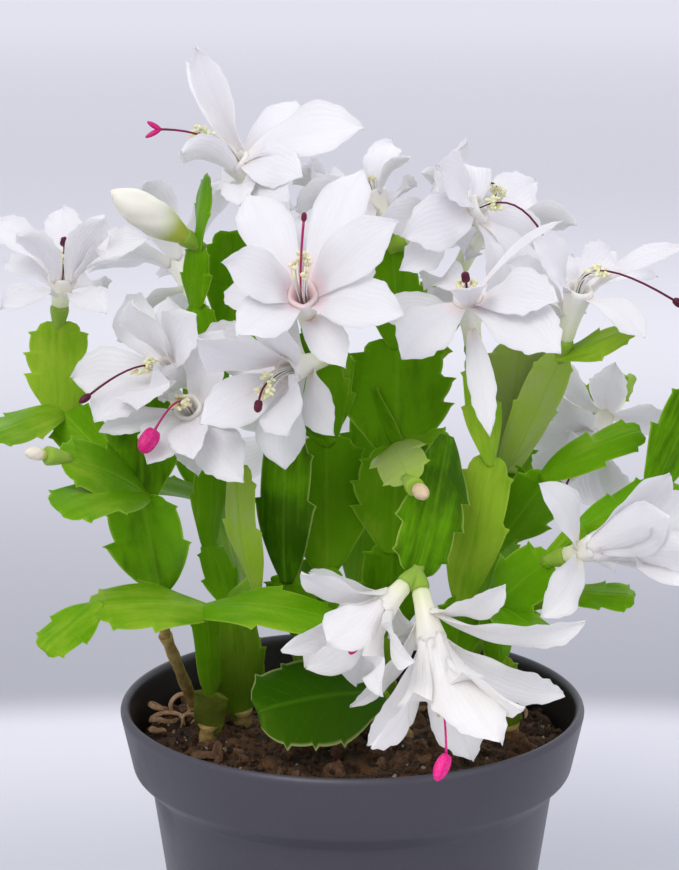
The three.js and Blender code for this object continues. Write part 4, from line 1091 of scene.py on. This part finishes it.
# how bright a style and its knob are, from dark maroon (0) to magenta (1)
toneOf = {
    "front": (0.8, 1.0), "front_left": (0.5, 0.8), "left_pink": (0.4, 0.66), "top_left": (0.16, 0.62),
    "centre": (0.42, 0.12), "back_left": (0.5, 0.8), "back_low": (0.6, 0.9),
}
fork = dict(blooms=("top_left",), spread=0.55, radius=0.7, sizes=((1, 0.9), (-1, 1.0)))
knobOf = {"centre": (0.75, 1.9), "left_dark": (1.0, 3.2), "front": (1.85, 6.6)}
knobLean = {"front": (-0.42, 0, 0)}


def styleReach(f, flower):
    # the style's length, and the share of it that is inside the tube
    inside = f["length"] - styleShape["seat"]
    reach = inside + flower.get("style", styleShape["beyond"])
    return reach, inside / reach


def stylePoint(f, flower, s):
    # a point on the style's path: 0 at its foot and 1 where its knob starts
    reach, inside = styleReach(f, flower)
    bend = max(0.0, s - inside) / (1 - inside)
    start = f["base"] + f["axis"] * styleShape["seat"]
    return start + f["axis"] * reach * s + np.array(flower["droop"], float) * bend**2


def addKnob(skins, start, way, length, width, tone):
    look = styleShape
    t = np.linspace(0, 1, look["knobRows"])
    low, high = look["knobSpan"]
    outline = width * np.sqrt(np.clip(np.sin(math.pi * (low + (high - low) * t)), 0.02, 1))
    loops = roundLoops(start + np.outer(t * length, way), outline, look["knobSides"], look["ridge"])
    skins.addLoops(loops, along=1.0, tone=tone)


def makePistil(name, flower):
    f = flowerFrame(flower)
    skins = Skins("along", "tone")
    s = np.linspace(0, 1, styleShape["rows"])
    centres = np.array([stylePoint(f, flower, x) for x in s])
    tone, knobTone = toneOf.get(name, styleShape["tone"])
    radii = styleShape["radius"] * (1 + styleShape["swell"] * s**6)
    skins.addLoops(roundLoops(centres, radii, styleShape["sides"]), along=s[:, None], tone=tone)
    way = unit(unit(centres[-1] - centres[-2]) + np.array(knobLean.get(name, (0, 0, 0))))
    _, aside = anySquare(way)
    end = centres[-1]
    wide, long = knobOf.get(name) or flower.get("knob", styleShape["knob"])
    if name in fork["blooms"]:
        for sign, size in fork["sizes"]:
            turned = unit(way + aside * fork["spread"] * sign)
            addKnob(skins, end - way, turned, long * size, fork["radius"], knobTone)
    else:
        sunk = styleShape["sunk"]
        addKnob(skins, end - way * sunk, way, long + sunk, wide * styleShape["knobSlim"], knobTone)
    finishPiece(skins.piece("style_" + name, styleSkin), "pistil", "pistil_" + name)


for order, (name, flower) in enumerate(blooms.items()):
    makeBloom(name, flower, np.random.default_rng(tepalShape["seed"] + order))
    makePistil(name, flower)
print("stage: blooms and pistils made")

# stamens: thin filaments that follow each style, with an anther on each
stamens = dict(
    count=20, points=9, start=0.55, radius=0.14, sides=6, least=1.1, spread=2.4, seed=7,
    spreadLeast=0.35, spreadPower=0.8, anther=0.56, antherSpan=(0.8, 1.15), squash=1.9, roughen=0.1,
    usualReach=(0.4, 0.7),
)
# how far along the free style the anthers reach
anthersFrom = {
    "centre": (0.42, 0.58), "right_wing": (0.3, 0.45), "front": (0.35, 0.6), "top_left": (0.4, 0.65),
    "upper_right": (0.05, 0.18), "left_dark": (0.15, 0.4), "left_pink": (0.1, 0.4),
}


def filamentPath(f, flower, reach, chance):
    look = stamens
    angle = chance.random() * looseTurn
    out = f["u"] * math.cos(angle) + f["v"] * math.sin(angle)
    last = reach[0] + (reach[1] - reach[0]) * chance.random()
    spread = look["spread"] * (look["spreadLeast"] + (1 - look["spreadLeast"]) * chance.random())
    _, inside = styleReach(f, flower)
    path = []
    for s in np.linspace(inside * look["start"], inside + (1 - inside) * last, look["points"]):
        free = max(0.0, s - inside) / (1 - inside)
        path.append(stylePoint(f, flower, s) + out * (look["least"] + spread * free ** look["spreadPower"]))
    return path


def filamentTree():
    g = Growth("growFilaments", Radius="Float", Sides="Int")
    lines = g.geo("MeshToCurve", "Curve", {"Mesh": g.given["Geometry"]})
    circle = {"Resolution": g.given["Sides"], "Radius": g.given["Radius"]}
    profile = g.geo("CurvePrimitiveCircle", "Curve", circle)
    tubes = {"Curve": lines, "Profile Curve": profile, "Fill Caps": True}
    return g.close(g.geo("CurveToMesh", "Mesh", tubes))


def grainTree(name, scattered):
    # puts a small rounded grain on each point, or on points scattered over the upward faces
    g = Growth(name, Size="Float", Least="Float", Squash="Float", Roughen="Float", Density="Float",
               Seed="Int", Detail="Int")
    given, seed = g.given, g.given["Seed"]
    points = given["Geometry"]
    if scattered:
        normal = g.geo("InputNormal")
        upward = g.math("GREATER_THAN", g.add("ShaderNodeSeparateXYZ", "Z", {0: normal}), 0.5)
        spread = {"Mesh": points, "Selection": upward, "Density": given["Density"], "Seed": seed}
        points = g.geo("DistributePointsOnFaces", "Points", spread)
    grain = g.geo("MeshIcoSphere", "Mesh", {"Radius": 1.0, "Subdivisions": given["Detail"]})
    spot = g.geo("InputPosition")
    rough = g.add("ShaderNodeTexNoise", "Fac", {"Vector": spot, "Scale": 1.1})
    swell = g.add("ShaderNodeMapRange", 0, {0: rough, 1: 0.25, 2: 0.75, 3: -1.0, 4: 1.0})
    push = g.math("MULTIPLY", swell, given["Roughen"])
    offset = g.add("ShaderNodeVectorMath", 0, {0: spot, "Scale": push}, operation="SCALE")
    lumpy = g.geo("SetPosition", 0, {"Geometry": grain, "Offset": offset})
    turns = {0: (0.0, 0.0, 0.0), 1: (looseTurn,) * 3, "Seed": seed}
    spin = g.add("FunctionNodeRandomValue", 0, turns, data_type="FLOAT_VECTOR")
    sizes = {2: given["Least"], 3: given["Size"], "Seed": seed}
    size = g.add("FunctionNodeRandomValue", 1, sizes, data_type="FLOAT")
    flat = g.math("MULTIPLY", size, given["Squash"])
    scale = g.add("ShaderNodeCombineXYZ", 0, {0: size, 1: size, 2: flat})
    grains = {"Points": points, "Instance": lumpy, "Rotation": spin, "Scale": scale}
    return g.close(g.geo("InstanceOnPoints", "Instances", grains))


def pointsMesh(name, points, edges=()):
    mesh = bpy.data.meshes.new(name)
    mesh.from_pydata([tuple(p * mm) for p in points], list(edges), [])
    return mesh


def makeStamens():
    look = stamens
    chance = np.random.default_rng(look["seed"])
    points, edges, ends = [], [], []
    for name, flower in blooms.items():
        f = flowerFrame(flower)
        reach = anthersFrom.get(name, look["usualReach"])
        for _ in range(look["count"]):
            path = filamentPath(f, flower, reach, chance)
            first = len(points)
            points += path
            edges += [(first + k, first + k + 1) for k in range(len(path) - 1)]
            ends.append(path[-1])
    thread = {"Radius": look["radius"] * mm, "Sides": look["sides"], "Finish": filamentSkin}
    finishPiece(grow(pointsMesh("filaments", points, edges), "filaments", filamentTree(), thread), "tepal")
    least, most = (look["anther"] * mm * share for share in look["antherSpan"])
    grain = {"Size": most, "Least": least, "Squash": look["squash"], "Roughen": look["roughen"],
             "Seed": look["seed"], "Detail": 2, "Finish": antherSkin}
    finishPiece(grow(pointsMesh("anthers", ends), "anthers", grainTree("growAnthers", False), grain), "bud")


makeStamens()
print("stage: stamens made")

# buds
budShape = dict(
    outline=[(-0.04, 0.40), (0.08, 0.62), (0.3, 0.93), (0.55, 1.0), (0.8, 0.72), (0.93, 0.36), (1.0, 0.06)],
    folds=4, twist=2.2, depth=0.11, rows=26, around=36,
)
tanOf = {"bud_cream": 0.75, "bud_tip": 0.25}


def makeBud(name, bud):
    f = flowerFrame(bud)
    skins = Skins("along", "tan")
    t = np.linspace(budShape["outline"][0][0], 1.0, budShape["rows"])
    radii = through(budShape["outline"], t) * bud["radius"]
    angle = anglesOf(budShape["around"])
    spokes = spokesOf(f, angle)
    loops = []
    for spot, radius in zip(t, radii):
        # each fold rises slowly and drops at the edge of the petal that wraps the next
        saw = np.mod(budShape["folds"] * angle / fullTurn + budShape["twist"] * spot, 1.0)
        fold = 1 - budShape["depth"] * np.clip(spot * 3, 0, 1) * (1 - saw) ** 3
        loops.append(f["base"] + (f["end"] - f["base"]) * spot + spokes * (radius * fold)[:, None])
    skins.addLoops(np.array(loops), along=t[:, None], tan=tanOf.get(name, 0.0))
    finishPiece(skins.piece("petals_" + name, budSkin), "bud", name)


for name, bud in buds.items():
    makeBud(name, bud)
print("stage: buds made")

# soil
soilBed = dict(
    rings=64, around=160, hub=2.0, over=0.4, middle=0.6, floor=4.3, floorRadius=43.0, shoulder=81.0,
    shoulderRadius=54.2, collar=88.0, collarRadius=58.2, wallShares=(0.25, 0.5, 0.75, 1.0), waves=26,
    waveReach=1.2, roughness=0.16, seed=3,
)
# sizes of the grains in metres, and how many to a square metre
grains = dict(
    soilCrumbs=dict(
        Size=1.5 * mm, Least=0.35 * mm, Squash=0.75, Roughen=0.45, Density=130000.0, Seed=11, Detail=2,
        Finish=crumbSkin,
    ),
    barkChips=dict(
        Size=4.2 * mm, Least=1.4 * mm, Squash=0.28, Roughen=0.5, Density=9000.0, Seed=23, Detail=3,
        Finish=barkSkin,
    ),
    paleGrit=dict(
        Size=0.8 * mm, Least=0.3 * mm, Squash=0.8, Roughen=0.35, Density=9000.0, Seed=37, Detail=2,
        Finish=gritSkin,
    ),
)
# dry curled bits on the soil: x, y, size and rise of each in mm, and the degrees it turns from and to
dryCurls = dict(
    bits=[(-53, 5, 5.2, 3.6, -30, 400), (-49, 14, 4.8, 4.6, -110, 260), (-55, 12, 3.4, 4.8, 60, 400),
          (-46, 5, 3.4, 3.0, -80, 220), (-54, -3, 3.0, 2.6, 100, 360), (47, 12, 3.2, 2.2, -40, 210),
          (20, -45, 2.4, 1.7, 60, 260)],
    thick=0.72, thinnest=0.4, tuck=0.45, rows=40, sides=12, ridge=(0.2, 3), archPower=0.7, lift=0.7,
)


def makeSoil():
    bed = soilBed
    chance = np.random.default_rng(bed["seed"])
    angle = anglesOf(bed["around"])
    reach = bed["waveReach"]
    waves = []
    for _ in range(bed["waves"]):
        waves.append((chance.random(2) * 2 * reach - reach, chance.random() * looseTurn, chance.random()))
    loops = [ringAt(angle, bed["hub"], bed["floor"]), ringAt(angle, bed["floorRadius"], bed["floor"])]
    for share in bed["wallShares"]:
        radius = bed["floorRadius"] + (bed["shoulderRadius"] - bed["floorRadius"]) * share
        loops.append(ringAt(angle, radius, bed["floor"] + (bed["shoulder"] - bed["floor"]) * share))
    loops.append(ringAt(angle, bed["collarRadius"], bed["collar"]))
    for radius in np.linspace(soilShape["radius"] + bed["over"], bed["middle"], bed["rings"]):
        x, y = radius * np.cos(angle), radius * np.sin(angle)
        fine = sum(weight * np.sin(x * k[0] + y * k[1] + start) for k, start, weight in waves)
        loops.append(ringAt(angle, radius, soilHeight(x, y) + fine * bed["roughness"]))
    skins = Skins()
    skins.addLoops(np.array(loops))
    return finishPiece(skins.piece("soilBed", soilSkin), "soil", "soil")


def makeGrains(soil):
    tree = grainTree("scatterGrains", True)
    for name, values in grains.items():
        finishPiece(grow(soil.data.copy(), name, tree, values), "soil")


def makeDryCurls():
    look = dryCurls
    skins = Skins()
    t = np.linspace(0, 1, look["rows"])
    arch = np.sin(math.pi * t) ** look["archPower"]
    thick = look["thick"] * (look["thinnest"] + (1 - look["thinnest"]) * arch)
    for x, y, size, rise, start, end in look["bits"]:
        angle = np.radians(start + (end - start) * t)
        reach = size * (1 - look["tuck"] * t)
        x, y = x + reach * np.cos(angle), y + reach * np.sin(angle)
        centres = np.stack([x, y, soilHeight(x, y) + look["lift"] + rise * arch], 1)
        skins.addLoops(roundLoops(centres, thick, look["sides"], look["ridge"]))
    finishPiece(skins.piece("dryCurls", curlSkin), "soil")


makeGrains(makeSoil())
makeDryCurls()
print("stage: soil made")

# pot
potShape = dict(
    height=104, rimRadius=65, collarRadius=61.5, collarFoot=86, bodyRadius=56.5, bodyTop=81, baseRadius=45,
    wall=1.5, lip=2.6, lipEdge=1.2, lipDrop=1.6, footWidth=8, floorLift=2.5, hubRadius=12, around=144,
    fillet=0.9, filletSteps=4, drillSides=24, drillDepth=12,
)
drainHoles = {"Hole Radius": 4 * mm, "Ring Radius": 25 * mm, "Count": 6}


def roundedProfile(corners):
    # each corner of the profile becomes a short curve
    line = [corners[0]]
    for three in zip(corners, corners[1:], corners[2:]):
        before, corner, after = np.array(three, float)
        a, b = before - corner, after - corner
        cut = min(potShape["fillet"], np.linalg.norm(a) * 0.45, np.linalg.norm(b) * 0.45)
        a, b = corner + unit(a) * cut, corner + unit(b) * cut
        line += [tuple(curved(a, corner, b, t)) for t in np.linspace(0, 1, potShape["filletSteps"])]
    return [*line, corners[-1]]


def holeTree():
    g = Growth("drillDrainHoles", **{"Hole Radius": "Float", "Ring Radius": "Float", "Count": "Int"})
    given = g.given
    ring = g.geo("MeshCircle", "Mesh", {"Vertices": given["Count"], "Radius": given["Ring Radius"]})
    drillSize = {"Vertices": potShape["drillSides"], "Radius": given["Hole Radius"],
                 "Depth": potShape["drillDepth"] * mm}
    drill = g.geo("MeshCylinder", "Mesh", drillSize)
    drills = g.geo("InstanceOnPoints", "Instances", {"Points": ring, "Instance": drill})
    solid = g.geo("RealizeInstances", 0, {"Geometry": drills})
    cut = {"Mesh 1": given["Geometry"], "Mesh 2": solid}
    return g.close(g.geo("MeshBoolean", "Mesh", cut, operation="DIFFERENCE"))


def makePot():
    p = potShape
    floor = p["floorLift"] + p["wall"]
    foot = p["baseRadius"] - p["footWidth"]
    inner = p["baseRadius"] + (p["bodyRadius"] - p["baseRadius"]) * floor / p["bodyTop"] - p["wall"]
    edge = p["lipEdge"]
    corners = [
        (0.5, 0), (p["hubRadius"], 0), (p["hubRadius"] + 1, p["floorLift"]), (foot - 1, p["floorLift"]),
        (foot, 0), (p["baseRadius"], 0), (p["bodyRadius"], p["bodyTop"]),
        (p["collarRadius"], p["collarFoot"]), (p["rimRadius"], p["height"] - p["lipDrop"]),
        (p["rimRadius"] - edge, p["height"]), (p["rimRadius"] - p["lip"], p["height"] - edge),
        (p["collarRadius"] - p["wall"], p["collarFoot"] + 1),
        (p["bodyRadius"] - p["wall"], p["bodyTop"] + 1), (inner, floor), (0.5, floor),
    ]
    angle = anglesOf(p["around"])
    skins = Skins()
    skins.addLoops(np.array([ringAt(angle, *corner) for corner in roundedProfile(corners)]))
    drilled = grow(skins.mesh("potShell", potSkin), "potShell", holeTree(), {**drainHoles, "Finish": potSkin})
    finishPiece(drilled, "pot", "pot")


makePot()
print("stage: pot made")
